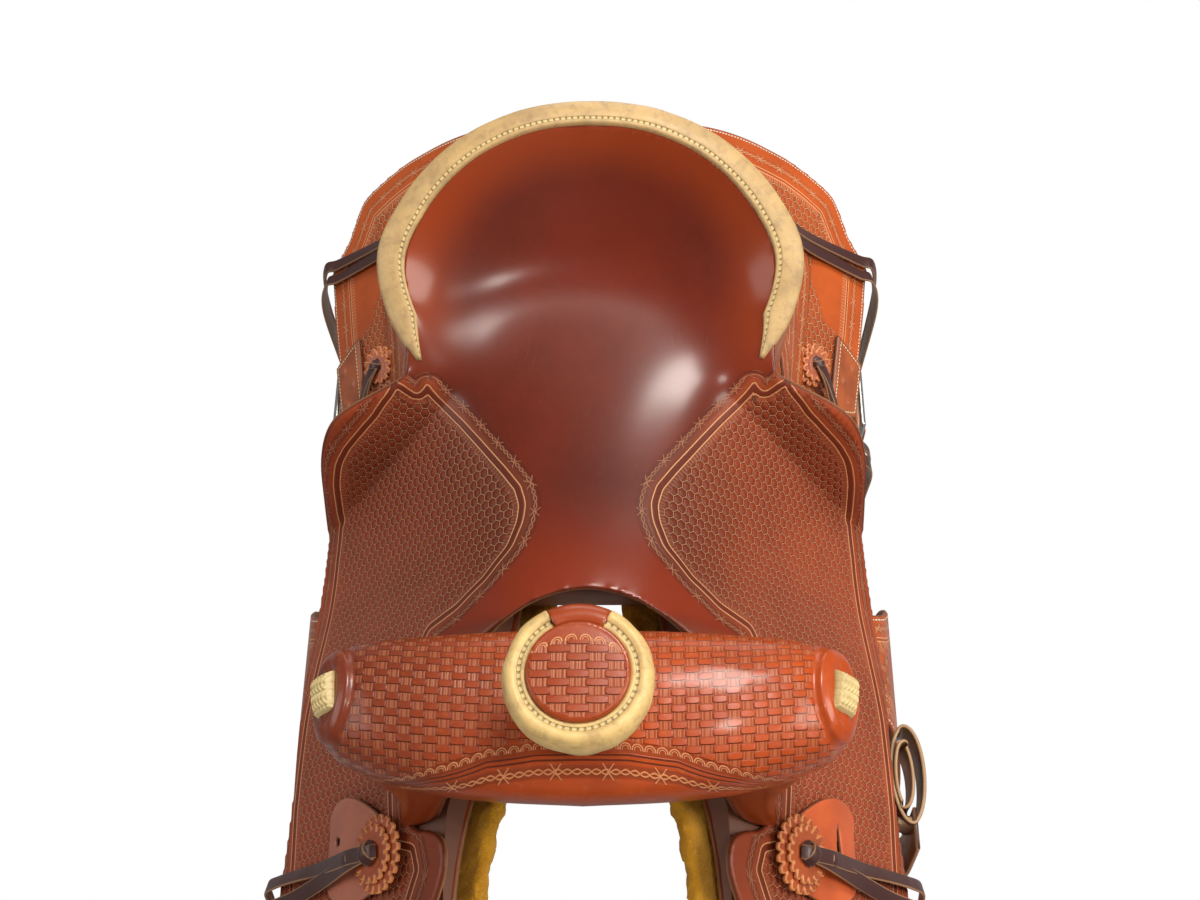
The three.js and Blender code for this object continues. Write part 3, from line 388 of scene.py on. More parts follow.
def shell(outline, place, low, high, grid=2.5, edge_radius=1.4, holes=(), swap=False,
          relief=None, under=None, tone=None):
    """A sheet with a rounded edge, from low to high over a surface.

    outline is in the sheet's own (a, b); place(a, b, off) is the point at a height over it.
    swap makes the pattern run (b, a). relief(u, v, edge) adds to the top, under(a, b) to the
    bottom, and tone(a, b, points) gives the first two numbers of pc.
    """
    outline = np.asarray(outline, float)
    first, last = outline.min(0) - grid * 0.51, outline.max(0) + grid
    lines = [np.arange(first[k], last[k], grid) for k in (0, 1)]
    points = np.stack(np.meshgrid(*lines, indexing="ij"), -1).reshape(-1, 2)
    border = resample(outline, 3.0) if len(outline) > 900 else outline
    dist, along, spot = nearest(points, border)
    within = inside(points, border)
    for hole in holes:
        hole_dist, hole_along, hole_spot = nearest(points, hole)
        closer = hole_dist < dist
        dist, along = np.where(closer, hole_dist, dist), np.where(closer, hole_along, along)
        spot = np.where(closer[:, None], hole_spot, spot)
        within = within & ~inside(points, hole)
    # grid points near the border snap on to it
    snap = dist < 0.5 * grid
    kept = within | snap
    points = np.where(snap[:, None], spot, points)
    edge = np.where(snap, 0.0, dist)

    ids = np.arange(len(points)).reshape(len(lines[0]), len(lines[1]))
    quads = np.stack([ids[:-1, :-1], ids[1:, :-1], ids[1:, 1:], ids[:-1, 1:]], -1).reshape(-1, 4)
    count = kept[quads].sum(1)
    full, part = quads[count == 4], quads[count == 3]
    tris = part[kept[part]].reshape(-1, 3)

    def area(faces):
        x, y = points[faces][..., 0], points[faces][..., 1]
        return 0.5 * (x * np.roll(y, -1, 1) - y * np.roll(x, -1, 1)).sum(1)

    full = full[area(full) > 0.06 * grid * grid]
    tris = tris[area(tris) > 0.04 * grid * grid]
    used = np.unique(np.concatenate([full.ravel(), tris.ravel()]))
    renumber = np.full(len(points), -1)
    renumber[used] = np.arange(len(used))
    full, tris = renumber[full], renumber[tris]
    (a, b), edge, along = points[used].T, edge[used], along[used]

    u, v = (b, a) if swap else (a, b)
    inset = np.clip(edge_radius - edge, 0, edge_radius)
    drop = edge_radius - np.sqrt(np.maximum(edge_radius * edge_radius - inset * inset, 0))
    top, bottom = high - drop, low + 0.6 * drop
    if relief is not None:
        top = top + relief(u, v, edge) * ease(0.5, 3.0, edge)
    if under is not None:
        bottom = bottom + under(a, b)
    top, bottom = place(a, b, top), place(a, b, bottom)

    n = len(a)
    sides = np.concatenate([
        np.stack([f, np.roll(f, -1, 1)], -1).reshape(-1, 2) for f in (full, tris) if len(f)])
    key, reverse = sides[:, 0] * n + sides[:, 1], sides[:, 1] * n + sides[:, 0]
    i, j = sides[~np.isin(key, reverse)].T
    walls = np.stack([j, i, i + n, j + n], 1)
    faces = face_list(full, tris, full[:, ::-1] + n, tris[:, ::-1] + n, walls)
    pa, pb = np.stack([u, v, edge], 1), np.stack([along, edge, along], 1)
    shade = tone(a, b, top) if tone else np.zeros((n, 2))
    pc = [np.hstack([shade, np.full((n, 1), show)]) for show in (1.0, 0.0)]
    return Piece(np.vstack([top, bottom]), faces, np.vstack([pa, pa]), np.vstack([pb, pb]),
                 np.vstack(pc))


def slab(top, bottom):
    """A closed block between two grids of points."""
    ids = np.arange(top.shape[0] * top.shape[1]).reshape(top.shape[:2])
    quads = np.stack([ids[:-1, :-1], ids[1:, :-1], ids[1:, 1:], ids[:-1, 1:]], -1).reshape(-1, 4)
    n = ids.size
    ring = np.concatenate([ids[:, 0], ids[-1, 1:], ids[-2::-1, -1], ids[0, -2:0:-1]])
    after = np.roll(ring, -1)
    walls = np.stack([after, ring, ring + n, after + n], 1)
    verts = np.vstack([top.reshape(-1, 3), bottom.reshape(-1, 3)])
    return Piece(verts, face_list(quads, quads[:, ::-1] + n, walls), np.full((2 * n, 3), FAR),
                 np.full((2 * n, 3), FAR), np.tile([0.0, 0, 1], (2 * n, 1)))


def loft(rings, closed=False, caps=True, along=None, around=None):
    """Skins rings[i, j]; along is the length at each ring, around the place on the ring."""
    rings = np.asarray(rings, float)
    n, m = rings.shape[:2]
    ids = np.arange(n * m).reshape(n, m)
    beside = np.roll(ids, -1, 1)
    if closed:
        ahead, across = np.roll(ids, -1, 0), np.roll(beside, -1, 0)
    else:
        ids, ahead, beside, across = ids[:-1], ids[1:], beside[:-1], beside[1:]
    faces = face_list(np.stack([ids, beside, across, ahead], -1).reshape(-1, 4))
    verts = rings.reshape(-1, 3)
    if along is None:
        along = lengths_along(rings.mean(1))
    if around is None:
        around = lengths_along(rings[n // 2])
    pa = np.stack([np.repeat(along, m), np.tile(around, n), np.full(n * m, FAR)], 1)
    if caps and not closed:
        k = len(verts)
        verts = np.vstack([verts, rings[0].mean(0), rings[-1].mean(0)])
        pa = np.vstack([pa, [along[0], around[0], FAR], [along[-1], around[0], FAR]])
        faces += [(k, (j + 1) % m, j) for j in range(m)]
        faces += [(k + 1, (n - 1) * m + j, (n - 1) * m + (j + 1) % m) for j in range(m)]
    return Piece(verts, faces, pa, pa * 1.0, np.ones((len(verts), 3)))


def round_box(half_a, half_b, radius, count):
    """(a, b, outward a, outward b) round a rectangle with count points per rounded corner."""
    rows = []
    for sign_a, sign_b, start in ((1, 1, 0), (-1, 1, 90), (-1, -1, 180), (1, -1, 270)):
        for turn in np.radians(np.linspace(start, start + 90, count)):
            out_a, out_b = math.cos(turn), math.sin(turn)
            rows.append((sign_a * (half_a - radius) + radius * out_a,
                         sign_b * (half_b - radius) + radius * out_b, out_a, out_b))
    return np.array(rows)


def strap_section(width, thick, count=4):
    """Offsets (across, up) of a rounded rectangle."""
    return round_box(width / 2, thick / 2, min(thick, width) * 0.42, count)[:, :2]


def line_frames(points, normals, closed=False):
    """Side and up directions along a line."""
    if closed:
        ahead = unit(np.roll(points, -1, 0) - np.roll(points, 1, 0))
    else:
        ahead = unit(np.gradient(points, axis=0))
    side = unit(np.cross(ahead, normals))
    return side, unit(np.cross(side, ahead))


def ribbon(points, normals, width, thick, step=4.0, closed=False, tip=None, smooth=True,
           twist=None):
    """A strap along points; tip is the part of it that rounds off at the far end."""
    points = np.asarray(points, float)
    normals = np.broadcast_to(np.asarray(normals, float), points.shape)
    both = (spline if smooth else resample)(np.hstack([points, unit(normals) * 20]), step, closed)
    points, normals = both[:, :3], unit(both[:, 3:])
    side, up = line_frames(points, normals, closed)
    along = lengths_along(points)
    part = along / along[-1]
    if twist is not None:
        turn = twist(part)[:, None]
        side, up = (side * np.cos(turn) + up * np.sin(turn),
                    up * np.cos(turn) - side * np.sin(turn))
    widths = np.full(len(points), 1.0)
    if tip:
        taper = np.sqrt(np.clip(1 - ((part - 1 + tip) / tip) ** 2, 0.04, 1))
        widths = widths * np.where(part > 1 - tip, taper, 1)
    ring = strap_section(width, thick)
    rings = (points[:, None] + side[:, None] * (ring[None, :, :1] * widths[:, None, None])
             + up[:, None] * ring[None, :, 1:])
    piece = loft(rings, closed, True, along, ring[:, 0])
    k = len(points) * len(ring)
    wide = np.repeat(widths, len(ring))
    across = np.tile(ring[:, 0], len(points)) * wide
    piece.pa[:k, 1] = across
    piece.pa[:k, 2] = wide * width / 2 - np.abs(across)
    piece.pb[:] = piece.pa
    piece.pc[:k, 2] = np.tile((ring[:, 1] > 0).astype(float), len(points))
    return piece


def tube(points, radius, step, up, count=14):
    points = spline(points, step)
    side, up = line_frames(points, np.broadcast_to(unit(up), points.shape))
    turn = (np.arange(count) / count * 2 * pi)[None, :, None]
    return loft(points[:, None] + radius * (side[:, None] * np.cos(turn)
                                            + up[:, None] * np.sin(turn)))


def frame_at(point, normal, along=(1, 0, 0)):
    z = unit(normal)
    x = np.asarray(along, float)
    x = unit(x - z * (x @ z))
    return np.asarray(point, float), x, np.cross(z, x), z


# ---- shader helpers -------------------------------------------------------------------------
def rgb(*levels):
    """Linear colour from 0-255 display levels."""
    shares = [level / 255.0 for level in levels]
    linear = [c / 12.92 if c <= 0.04045 else ((c + 0.055) / 1.055) ** 2.4 for c in shares]
    return (*linear, 1.0)


class Value:
    """A value socket with arithmetic."""

    def __init__(self, tree, socket):
        self.tree, self.socket = tree, socket

    def op(self, kind, *others):
        node = self.tree.nodes.new("ShaderNodeMath")
        node.operation = kind
        for i, item in enumerate((self,) + others):
            if isinstance(item, Value):
                self.tree.links.new(item.socket, node.inputs[i])
            else:
                node.inputs[i].default_value = float(item)
        return Value(self.tree, node.outputs[0])

    def __add__(self, other):
        return self.op("ADD", other)

    def __sub__(self, other):
        return self.op("SUBTRACT", other)

    def __rsub__(self, other):
        return self.op("MULTIPLY_ADD", -1.0, other)

    def __mul__(self, other):
        return self.op("MULTIPLY", other)

    def __truediv__(self, other):
        return self.op("DIVIDE", other)

    def abs(self):
        return self.op("ABSOLUTE")

    def frac(self):
        return self.op("FRACT")

    def sin(self):
        return self.op("SINE")

    def min(self, other):
        return self.op("MINIMUM", other)

    def max(self, other):
        return self.op("MAXIMUM", other)

    def rise(self, low, high):
        """0 below low, 1 above high."""
        node = self.tree.nodes.new("ShaderNodeMapRange")
        node.interpolation_type = "SMOOTHSTEP"
        self.tree.links.new(self.socket, node.inputs[0])
        node.inputs[1].default_value, node.inputs[2].default_value = low, high
        return Value(self.tree, node.outputs[0])

    def fall(self, low, high):
        """1 below low, 0 above high."""
        return 1.0 - self.rise(low, high)

    def line(self, at, half, soft):
        """1 within half of a value, with an edge soft wide."""
        return (self - at).abs().fall(half - soft * 0.5, half + soft * 0.5)


class Shader:
    """A material whose colour is built up in layers; sizes and heights are in mm."""

    def __init__(self, name, base):
        self.material = bpy.data.materials.new(name)
        self.material.use_nodes = True
        self.tree = self.material.node_tree
        self.bsdf = self.tree.nodes["Principled BSDF"]
        self.colour = rgb(*base)
        self.place = self.tree.nodes.new("ShaderNodeTexCoord").outputs["Object"]

    def split(self, socket):
        node = self.tree.nodes.new("ShaderNodeSeparateXYZ")
        self.tree.links.new(socket, node.inputs[0])
        return tuple(Value(self.tree, node.outputs[i]) for i in range(3))

    def attribute(self, key):
        node = self.tree.nodes.new("ShaderNodeAttribute")
        node.attribute_name = key
        return self.split(node.outputs["Vector"])

    def noise(self, size, detail=3, rough=0.55, stretch=None, distort=0.0):
        """Noise with features of about the given size, centred on 0.5."""
        node = self.tree.nodes.new("ShaderNodeTexNoise")
        node.inputs["Scale"].default_value = 1000.0 / size
        node.inputs["Detail"].default_value = detail
        node.inputs["Roughness"].default_value = rough
        node.inputs["Distortion"].default_value = distort
        source = self.place
        if stretch:
            scale = self.tree.nodes.new("ShaderNodeVectorMath")
            scale.operation = "MULTIPLY"
            self.tree.links.new(self.place, scale.inputs[0])
            scale.inputs[1].default_value = stretch
            source = scale.outputs[0]
        self.tree.links.new(source, node.inputs["Vector"])
        return Value(self.tree, node.outputs[0])

    def bumps(self, size, height, **noise):
        return (self.noise(size, **noise) - 0.5) * height

    def skin(self, coarse=0.18, fine=0.06):
        """Leather grain: its broad unevenness, its fine unevenness and shallow pores."""
        node = self.tree.nodes.new("ShaderNodeTexVoronoi")
        node.inputs["Scale"].default_value = 1000.0 / 1.6
        self.tree.links.new(self.place, node.inputs["Vector"])
        pores = Value(self.tree, node.outputs["Distance"]).fall(0.0, 0.25)
        return self.bumps(9, coarse) + self.bumps(1.1, fine, rough=0.6) - pores * 0.015

    def mix(self, mask, colour, amount=None):
        """Lays a 0-255 colour over the colour so far."""
        if amount is not None:
            mask = mask * amount
        node = self.tree.nodes.new("ShaderNodeMix")
        node.data_type = "RGBA"
        self.tree.links.new(mask.socket, node.inputs[0])
        if isinstance(self.colour, tuple):
            node.inputs[6].default_value = self.colour
        else:
            self.tree.links.new(self.colour, node.inputs[6])
        node.inputs[7].default_value = rgb(*colour)
        self.colour = node.outputs[2]

    def mottle(self, colour, amount, size, rise, within=None, **noise):
        """Lays a colour over patches where the noise climbs through the range rise."""
        mask = self.noise(size, **noise).rise(*rise)
        self.mix(mask if within is None else within * mask, colour, amount)

    def burnish(self, edge, face, colour=(70, 34, 20)):
        """Burnished edges and a fleshy underside."""
        self.mix(edge.fall(0.0, 2.2), colour, amount=0.75)
        self.mix(1.0 - face, (150, 105, 68))

    def done(self, height, **inputs):
        """Links the colour, the bump and the named shader inputs; _ stands for a space."""
        for key, value in inputs.items():
            socket = self.bsdf.inputs[key.replace("_", " ")]
            if isinstance(value, Value):
                self.tree.links.new(value.socket, socket)
            else:
                socket.default_value = value
        self.tree.links.new(self.colour, self.bsdf.inputs["Base Color"])
        bump = self.tree.nodes.new("ShaderNodeBump")
        bump.inputs["Strength"].default_value = 1.0
        bump.inputs["Distance"].default_value = MM
        self.tree.links.new(height.socket, bump.inputs["Height"])
        self.tree.links.new(bump.outputs["Normal"], self.bsdf.inputs["Normal"])
        return self.material


# ---- stamped and stitched patterns ----------------------------------------------------------
HEX_WIDTH, HEX_ROW = 7.8, 7.0
WEAVE_ROW = 5.4


def honeycomb(u, v):
    """Distance from the centre of a six-sided cell, 0 at the middle and 1 at its wall."""
    squash = HEX_WIDTH * 0.866 / HEX_ROW

    def cell(shift):
        x = (((u / HEX_WIDTH) + shift).frac() - 0.5).abs() * HEX_WIDTH
        y = (((v / (2 * HEX_ROW)) + shift).frac() - 0.5).abs() * (2 * HEX_ROW * squash)
        return x.max(x * 0.5 + y * 0.866)

    return cell(0.0).min(cell(0.5)) / (HEX_WIDTH / 2)


def weave(u, v, pitch, half=5.0):
    """Basket weave stamps of half width half: (raised barrel, upright bars, place across a row
    from -1 to 1, distance from the stamp's middle)."""
    row = (v / WEAVE_ROW).op("FLOOR")
    offset = row.op("FLOORED_MODULO", 2.0) * 0.5
    x = (((u / pitch) + offset).frac() - 0.5).abs() * pitch
    y = ((v / WEAVE_ROW).frac() - 0.5) * 2.0
    bulge = y.abs() + (x / half) * (x / half) * 0.22
    barrel = x.fall(half - 1.0, half + 0.5) * bulge.fall(0.72, 1.0)
    bars = x.rise(half + 0.2, half + 0.9) * ripple(x, 2.6)
    return barrel, bars, y, x


def ripple(along, pitch):
    """A wave from 0 to 1."""
    return (along * (2 * pi / pitch)).sin() * 0.5 + 0.5


def wire(along, off, pitch=11.0, barb=24.0):
    """Two-strand twisted wire along off = 0, with a four-pointed barb every barb mm."""
    strand = (along * (2 * pi / pitch)).sin() * 1.15
    strands = (off - strand).abs().fall(0.25, 0.75).max((off + strand).abs().fall(0.25, 0.75))
    t = ((along / barb).frac() - 0.5) * barb
    cross = (t.abs() - off.abs() * 0.9).abs().fall(0.3, 0.85)
    return strands.max(cross * off.abs().fall(3.8, 4.4) * t.abs().fall(4.2, 4.8))


def stitches(along, off, pitch=3.4, half=0.55):
    on = ((along / pitch).frac() - 0.5).abs().fall(0.3, 0.38)
    return off.abs().fall(half - 0.2, half + 0.2) * on


def moons(along, off, pitch):
    """A row of half-moon stamps of two rings each, on the side off > 0."""
    t = ((along / pitch).frac() - 0.5) * pitch
    radius = (t * t + off * off).op("SQRT")
    rings = (radius - 3.4).abs().fall(0.25, 0.7).max((radius - 2.0).abs().fall(0.15, 0.5))
    return rings * off.rise(-1.2, -0.4)


# ---- materials ------------------------------------------------------------------------------
# mix amounts are shares of the new colour; factors in the height sums are mm
STAMP_DEPTH = 1.0  # gain on the height of tooled()'s stamps
BORDER_INNER = 3.2  # distance between the two lines round a tooled panel
FINE_LINE = dict(half=0.42, soft=0.4)
STITCH_GROOVE = dict(half=0.9, soft=0.6)


def tooled(name, light, dark, line, hexes, rough, coat, start, wire_at, pitch=None, stitch=None,
           pale=0.55):
    """Leather stamped from start inward, with a barbed-wire line wire_at from the panel edge."""
    mat = Shader(name, light)
    u, v, edge = mat.attribute("pa")
    along, depth, border = mat.attribute("pb")
    shade, patch, face = mat.attribute("pc")
    mat.mottle(dark, 0.45, size=60, rise=(0.35, 0.7), rough=0.5)
    mat.mix(shade.max(0.0), dark)
    mat.mottle(dark, 0.22, size=7, rise=(0.45, 0.75), detail=4, rough=0.6)
    panel = depth.rise(start - 1.2, start) * (1.0 - patch.max(0.0).min(1.0))
    if hexes:
        cell = honeycomb(u, v)
        dome, wall = cell.fall(0.3, 0.74), cell.rise(0.84, 0.95)
        stamp = (dome * 0.62 + wall * 0.5) * STAMP_DEPTH
        gap = cell.line(0.8, half=0.07, soft=0.12)
        mat.mix(panel * wall, line, amount=pale)
        mat.mix(panel * gap, (46, 22, 16), amount=0.75)
        mat.mix(panel * dome, dark, amount=0.35)
    else:
        barrel, bars, y, x = weave(u, v, pitch)
        stamp = (barrel * (0.75 - y * 0.28) + bars * 0.22) * STAMP_DEPTH
        mat.mix(panel * (1.0 - barrel), (150, 88, 62), amount=0.32)
        mat.mix(panel * bars * pale, line, amount=0.45)
        # painted shadow along the front edge of each barrel
        mat.mix(panel * y.fall(-1.0, -0.72) * x.fall(4.2, 6.2), (40, 18, 10), amount=0.85)
        # painted shadow in the gap at each barrel's ends
        gap = x.line(5.4, half=0.35, soft=0.5)
        mat.mix(panel * gap * y.abs().fall(0.5, 0.9), (60, 28, 16), amount=0.5)
    lines = depth.line(0.0, **FINE_LINE).max(depth.line(BORDER_INNER, **FINE_LINE))
    band = depth.rise(0.3, 1.2) * depth.fall(BORDER_INNER - 1.2, BORDER_INNER - 0.3)
    strands = wire(border, depth - wire_at) * edge.rise(1.5, 2.5)
    trough = (depth - wire_at).abs().fall(3.2, 5.0) * edge.rise(1.5, 2.5)
    fringe = depth.rise(BORDER_INNER, BORDER_INNER + 0.8) * depth.fall(start + 1.5, start + 4.0)
    fringe = fringe * ripple(border, 3.1)
    mat.mix(band, dark, amount=0.5)
    mat.mix(trough, dark, amount=0.28)
    mat.mix(strands, line, amount=0.5)
    mat.mix(lines, line, amount=0.7)
    mat.mix(fringe, line, amount=0.28)
    height = stamp * panel + band * 0.25 + strands * 0.55 - trough * 0.18
    height = height + lines * 0.12 + fringe * 0.3
    if stitch is not None:
        thread = stitches(along, edge - stitch)
        mat.mix(edge.line(stitch, **STITCH_GROOVE), dark, amount=0.4)
        mat.mix(thread, (240, 226, 200))
        height = height - edge.line(stitch, **STITCH_GROOVE) * 0.25 + thread * 0.5
    mat.burnish(edge, face)
    mat.mottle(line, 0.16, size=2.6, rise=(0.62, 0.8), detail=4, rough=0.7)
    return mat.done(
        height + mat.skin(coarse=0.12, fine=0.05),
        Roughness=(mat.noise(14) * 0.22 + (rough - 0.1)) + (1.0 - face) * 0.3,
        Coat_Weight=face * coat * 0.7, Coat_Roughness=0.28, Specular_IOR_Level=0.3)


def seat_material():
    """Orange-brown stamped jockeys round a smooth, glossy mahogany seat."""
    mat = Shader("tooled_seat_leather", (158, 68, 34))
    u, v, edge = mat.attribute("pa")
    _, depth, border = mat.attribute("pb")
    shade, seat, face = mat.attribute("pc")
    x, y, _ = mat.split(mat.place)
    x, y = x * 1000.0, y * 1000.0
    # jockeys
    mat.mottle((114, 48, 26), 0.45, size=70, rise=(0.35, 0.7))
    # the pc darkening: darker close to the seat, plus painted shade on the off (-X) side
    mat.mix(shade, (74, 36, 26))
    mat.mottle((96, 40, 24), 0.2, size=8, rise=(0.45, 0.8), detail=4, rough=0.6)
    cell = honeycomb(u, v)
    dome, wall = cell.fall(0.25, 0.76), cell.rise(0.85, 0.95)
    panel = depth.rise(9.0, 10.5)
    mat.mix(panel * wall, (196, 140, 104), amount=0.55)
    mat.mix(panel * cell.line(0.81, half=0.06, soft=0.12), (44, 20, 14), amount=0.75)
    mat.mix(panel * dome, (112, 42, 24), amount=0.3)
    height = (dome * 0.7 + wall * 0.5) * panel
    # seat: darker in the middle, painted shade on the off (-X) side, orange at the rim and towards
    # the front
    smooth = seat * depth.fall(-11.0, -8.0)
    mat.mix(smooth, (100, 32, 14))
    mat.mottle((72, 24, 14), 0.45, size=90, rise=(0.35, 0.7), within=smooth)
    # painted shade on the off (-X) side of the seat
    mat.mix(smooth * x.fall(-130.0, -20.0) * y.fall(150.0, 250.0), (64, 26, 18), amount=0.45)
    middle = smooth * (y + 5.0).abs().fall(10.0, 80.0) * (x - 10.0).abs().fall(0.0, 90.0)
    mat.mix(middle, (58, 20, 16), amount=0.5)
    mat.mix(smooth * edge.fall(6.0, 60.0) * y.rise(60.0, 190.0), (142, 54, 14), amount=0.85)
    mat.mix(smooth * y.fall(-105.0, 10.0), (128, 44, 18), amount=0.75)
    mat.mottle((120, 56, 34), 0.16, size=5, rise=(0.5, 0.85), within=smooth, detail=4, rough=0.65)
    # borders round the tooled panels
    lines = depth.line(0.0, half=0.4, soft=0.4).max(depth.line(5.6, half=0.4, soft=0.4))
    band = depth.rise(0.4, 1.4) * depth.fall(4.2, 5.2)
    fringe = depth.rise(5.8, 6.6) * depth.fall(9.0, 12.0) * ripple(border, 3.4)
    strands = wire(border, depth + 8.0)
    clear = edge.rise(2.0, 3.0)
    trough = (depth + 8.0).abs().fall(3.0, 5.0) * clear
    mat.mix(band, (84, 32, 20), amount=0.7)
    mat.mix(trough, (62, 30, 22), amount=0.35)
    mat.mix(strands * clear, (176, 122, 90), amount=0.5)
    mat.mix(lines, (220, 172, 122), amount=0.68)
    mat.mix(fringe, (150, 108, 84), amount=0.3)
    height = height + band * 0.35 + strands * clear * 0.6 - trough * 0.2
    height = height + lines * 0.1 + fringe * 0.35
    # a few long creases
    crease = mat.noise(30, detail=2, rough=0.4, stretch=(1, 0.25, 1))
    crease = crease.line(0.5, half=0.006, soft=0.01) * mat.noise(45, detail=1).rise(0.55, 0.65)
    mat.burnish(edge, face, (60, 26, 16))
    grain = mat.bumps(1.3, 0.035, rough=0.6) + mat.bumps(16, 0.12) - crease * smooth * 0.03
    wear = mat.noise(2.4, detail=4, rough=0.7).rise(0.66, 0.8)
    mat.mix(wear * 0.12 * (1.0 - smooth), (200, 150, 110))
    return mat.done(
        height + grain,
        Roughness=mat.noise(20) * 0.2 + 0.32 - smooth * 0.04 + (1.0 - face) * 0.35,
        Coat_Weight=face * (smooth * 0.47 + 0.08), Coat_Roughness=0.21,
        Specular_IOR_Level=0.26 - smooth * 0.14)


def cover_material(name, light, gap, pitch, half, panel_from, cap=False):
    """Basket weave with a row of half moons; the fork adds a double line and barbed wire.

    gap is the (colour, amount) beside each stamp, panel_from where the weave fades in."""
    mat = Shader(name, light)
    u, v, edge = mat.attribute("pa")
    _, depth, border = mat.attribute("pb")
    shade, patch, face = mat.attribute("pc")
    mat.mottle((132, 48, 16), 0.5, size=50, rise=(0.3, 0.7))
    # the pc darkening: painted shade on the fork's off side and underside
    mat.mix(shade, (92, 40, 26))
    mat.mottle((206, 118, 62), 0.2, size=6, rise=(0.5, 0.8), detail=4, rough=0.6)
    barrel, bars, y, x = weave(u, v, pitch, half)
    panel = depth.rise(*panel_from) * (1.0 - patch)
    mat.mix(panel * (1.0 - barrel), (118, 50, 26), amount=0.45)
    mat.mix(panel * bars, (220, 150, 104), amount=0.22)
    shadow = y.fall(-1.0, -0.7) * 1 if False else y.fall(-1.0, -0.7)
    mat.mix(panel * shadow * x.fall(half - 0.6, half + 1.4), (48, 18, 8), amount=0.85)
    # the line at each stamp's end: on the fork a dark painted shadow, on the cap a pale line
    mat.mix(panel * x.line(half + 0.4, half=0.3, soft=0.5), gap, amount=0.35)
    stamp = barrel * (0.8 - y * 0.35) - barrel * (x / half) * (x / half) * 0.2 + bars * 0.22
    height = panel * stamp
    if cap:
        row = moons(border, depth * -1.0 + 1.0, pitch=9.0)
        row = row * v.rise(10.0, 13.0) * depth.fall(0.5, 2.0)
        mat.mix(row, (226, 160, 110), amount=0.6)
        height = height + row * 0.35
    else:
        row = moons(border, depth - 4.4, pitch=8.0) * (1.0 - patch)
        band = depth.rise(0.9, 1.6) * depth.fall(8.0, 9.0) * (1.0 - patch)
        mat.mix(band, (90, 38, 20), amount=0.4)
        mat.mix(row, (220, 150, 104), amount=0.65)
        lines = depth.line(0.0, half=0.55, soft=0.5).max(depth.line(-3.4, half=0.55, soft=0.5))
        mat.mix(lines, (58, 22, 12), amount=0.8)
        strands = wire(border, (depth + 11.0) * 0.72, pitch=12.5, barb=34.0)
        trough = (depth + 11.0).abs().fall(3.5, 5.5)
        mat.mix(trough, (84, 34, 18), amount=0.45)
        mat.mix(strands, (216, 142, 92), amount=0.75)
        mat.mix(depth.fall(-50.0, -20.0), (100, 40, 14), amount=0.65)
        height = height + row * 0.5 - band * 0.25 - lines * 0.5 + strands * 0.9 - trough * 0.3
    mat.burnish(edge, face, (90, 40, 20))
    mat.mottle((228, 170, 120), 0.14, size=2.4, rise=(0.64, 0.8), detail=4, rough=0.7)
    return mat.done(
        height + mat.skin(coarse=0.16, fine=0.05), Roughness=mat.noise(16) * 0.2 + 0.27,
        Coat_Weight=0.3, Coat_Roughness=0.14, Specular_IOR_Level=0.28)


def rawhide_material(name, light, dark):
    """Lumpy rawhide with a stitched groove where the panel distance is zero."""
    mat = Shader(name, light)
    along, depth, _ = mat.attribute("pb")
    mat.mottle(dark, 0.6, size=26, rise=(0.35, 0.7), detail=4, rough=0.6)
    mat.mottle((128, 102, 74), 0.5, size=9, rise=(0.42, 0.75), detail=4, rough=0.65)
    mat.mottle((224, 206, 160), 0.2, size=3, rise=(0.55, 0.85))
    groove = depth.abs().fall(0.6, 1.4)
    thread = stitches(along, depth, pitch=4.6, half=0.9)
    mat.mix(groove, (112, 88, 50), amount=0.6)
    mat.mix(thread, (206, 184, 128))
    height = mat.bumps(11, 0.5, detail=4) + mat.bumps(1.6, 0.1) - groove * 0.7 + thread * 0.6
    return mat.done(height, Roughness=mat.noise(12) * 0.2 + 0.42, Coat_Weight=0.12,
                    Coat_Roughness=0.35, Subsurface_Weight=0.06)


def plain(name, light, dark, raw, rough, coat, stitch=None, grain=0.14, raw_width=0.9,
          under=(150, 110, 76)):
    """Plain leather: raw edges, soft wear, and an optional row of stitches near its edge."""
    mat = Shader(name, light)
    edge = mat.attribute("pa")[2]
    shade, _, face = mat.attribute("pc")
    mat.mottle(dark, 0.6, size=36, rise=(0.35, 0.7))
    mat.mottle(dark, 0.3, size=7, rise=(0.45, 0.8), detail=4, rough=0.6)
    # the pc darkening: on the lacing, painted shade in the braid's valleys
    mat.mix(shade, dark)
    mat.mottle(raw, 0.15, size=3, rise=(0.6, 0.8), detail=4, rough=0.7)
    height = mat.skin(grain, fine=0.06)
    if under is not None:
        mat.mix(1.0 - face, under)
    if stitch is not None:
        thread = stitches(mat.attribute("pb")[0], edge - stitch, pitch=3.6, half=0.6)
        groove = edge.line(stitch, half=1.0, soft=0.7)
        mat.mix(groove, dark, amount=0.45)
        mat.mix(thread, (238, 214, 168))
        height = height - groove * 0.3 + thread * 0.55
    mat.mix(edge.fall(raw_width * 0.5, raw_width), raw, amount=0.8)
    return mat.done(
        height, Roughness=mat.noise(12) * 0.25 + (rough - 0.12) + edge.fall(0.3, 1.0) * 0.15,
        Coat_Weight=coat, Coat_Roughness=0.3)


def wool_material():
    mat = Shader("sheepskin", (212, 152, 34))
    mat.mottle((170, 108, 16), 0.55, size=16, rise=(0.35, 0.7), detail=4, rough=0.6)
    mat.mottle((238, 192, 84), 0.5, size=4, rise=(0.5, 0.75), detail=4, rough=0.7)
    tufts = mat.bumps(5, 3.0, detail=5, rough=0.7, distort=1.0)
    return mat.done(
        tufts + mat.bumps(1.2, 1.2, detail=4, rough=0.7), Roughness=0.95, Sheen_Weight=0.5,
        Sheen_Roughness=0.5, Specular_IOR_Level=0.15, Sheen_Tint=rgb(255, 220, 140))


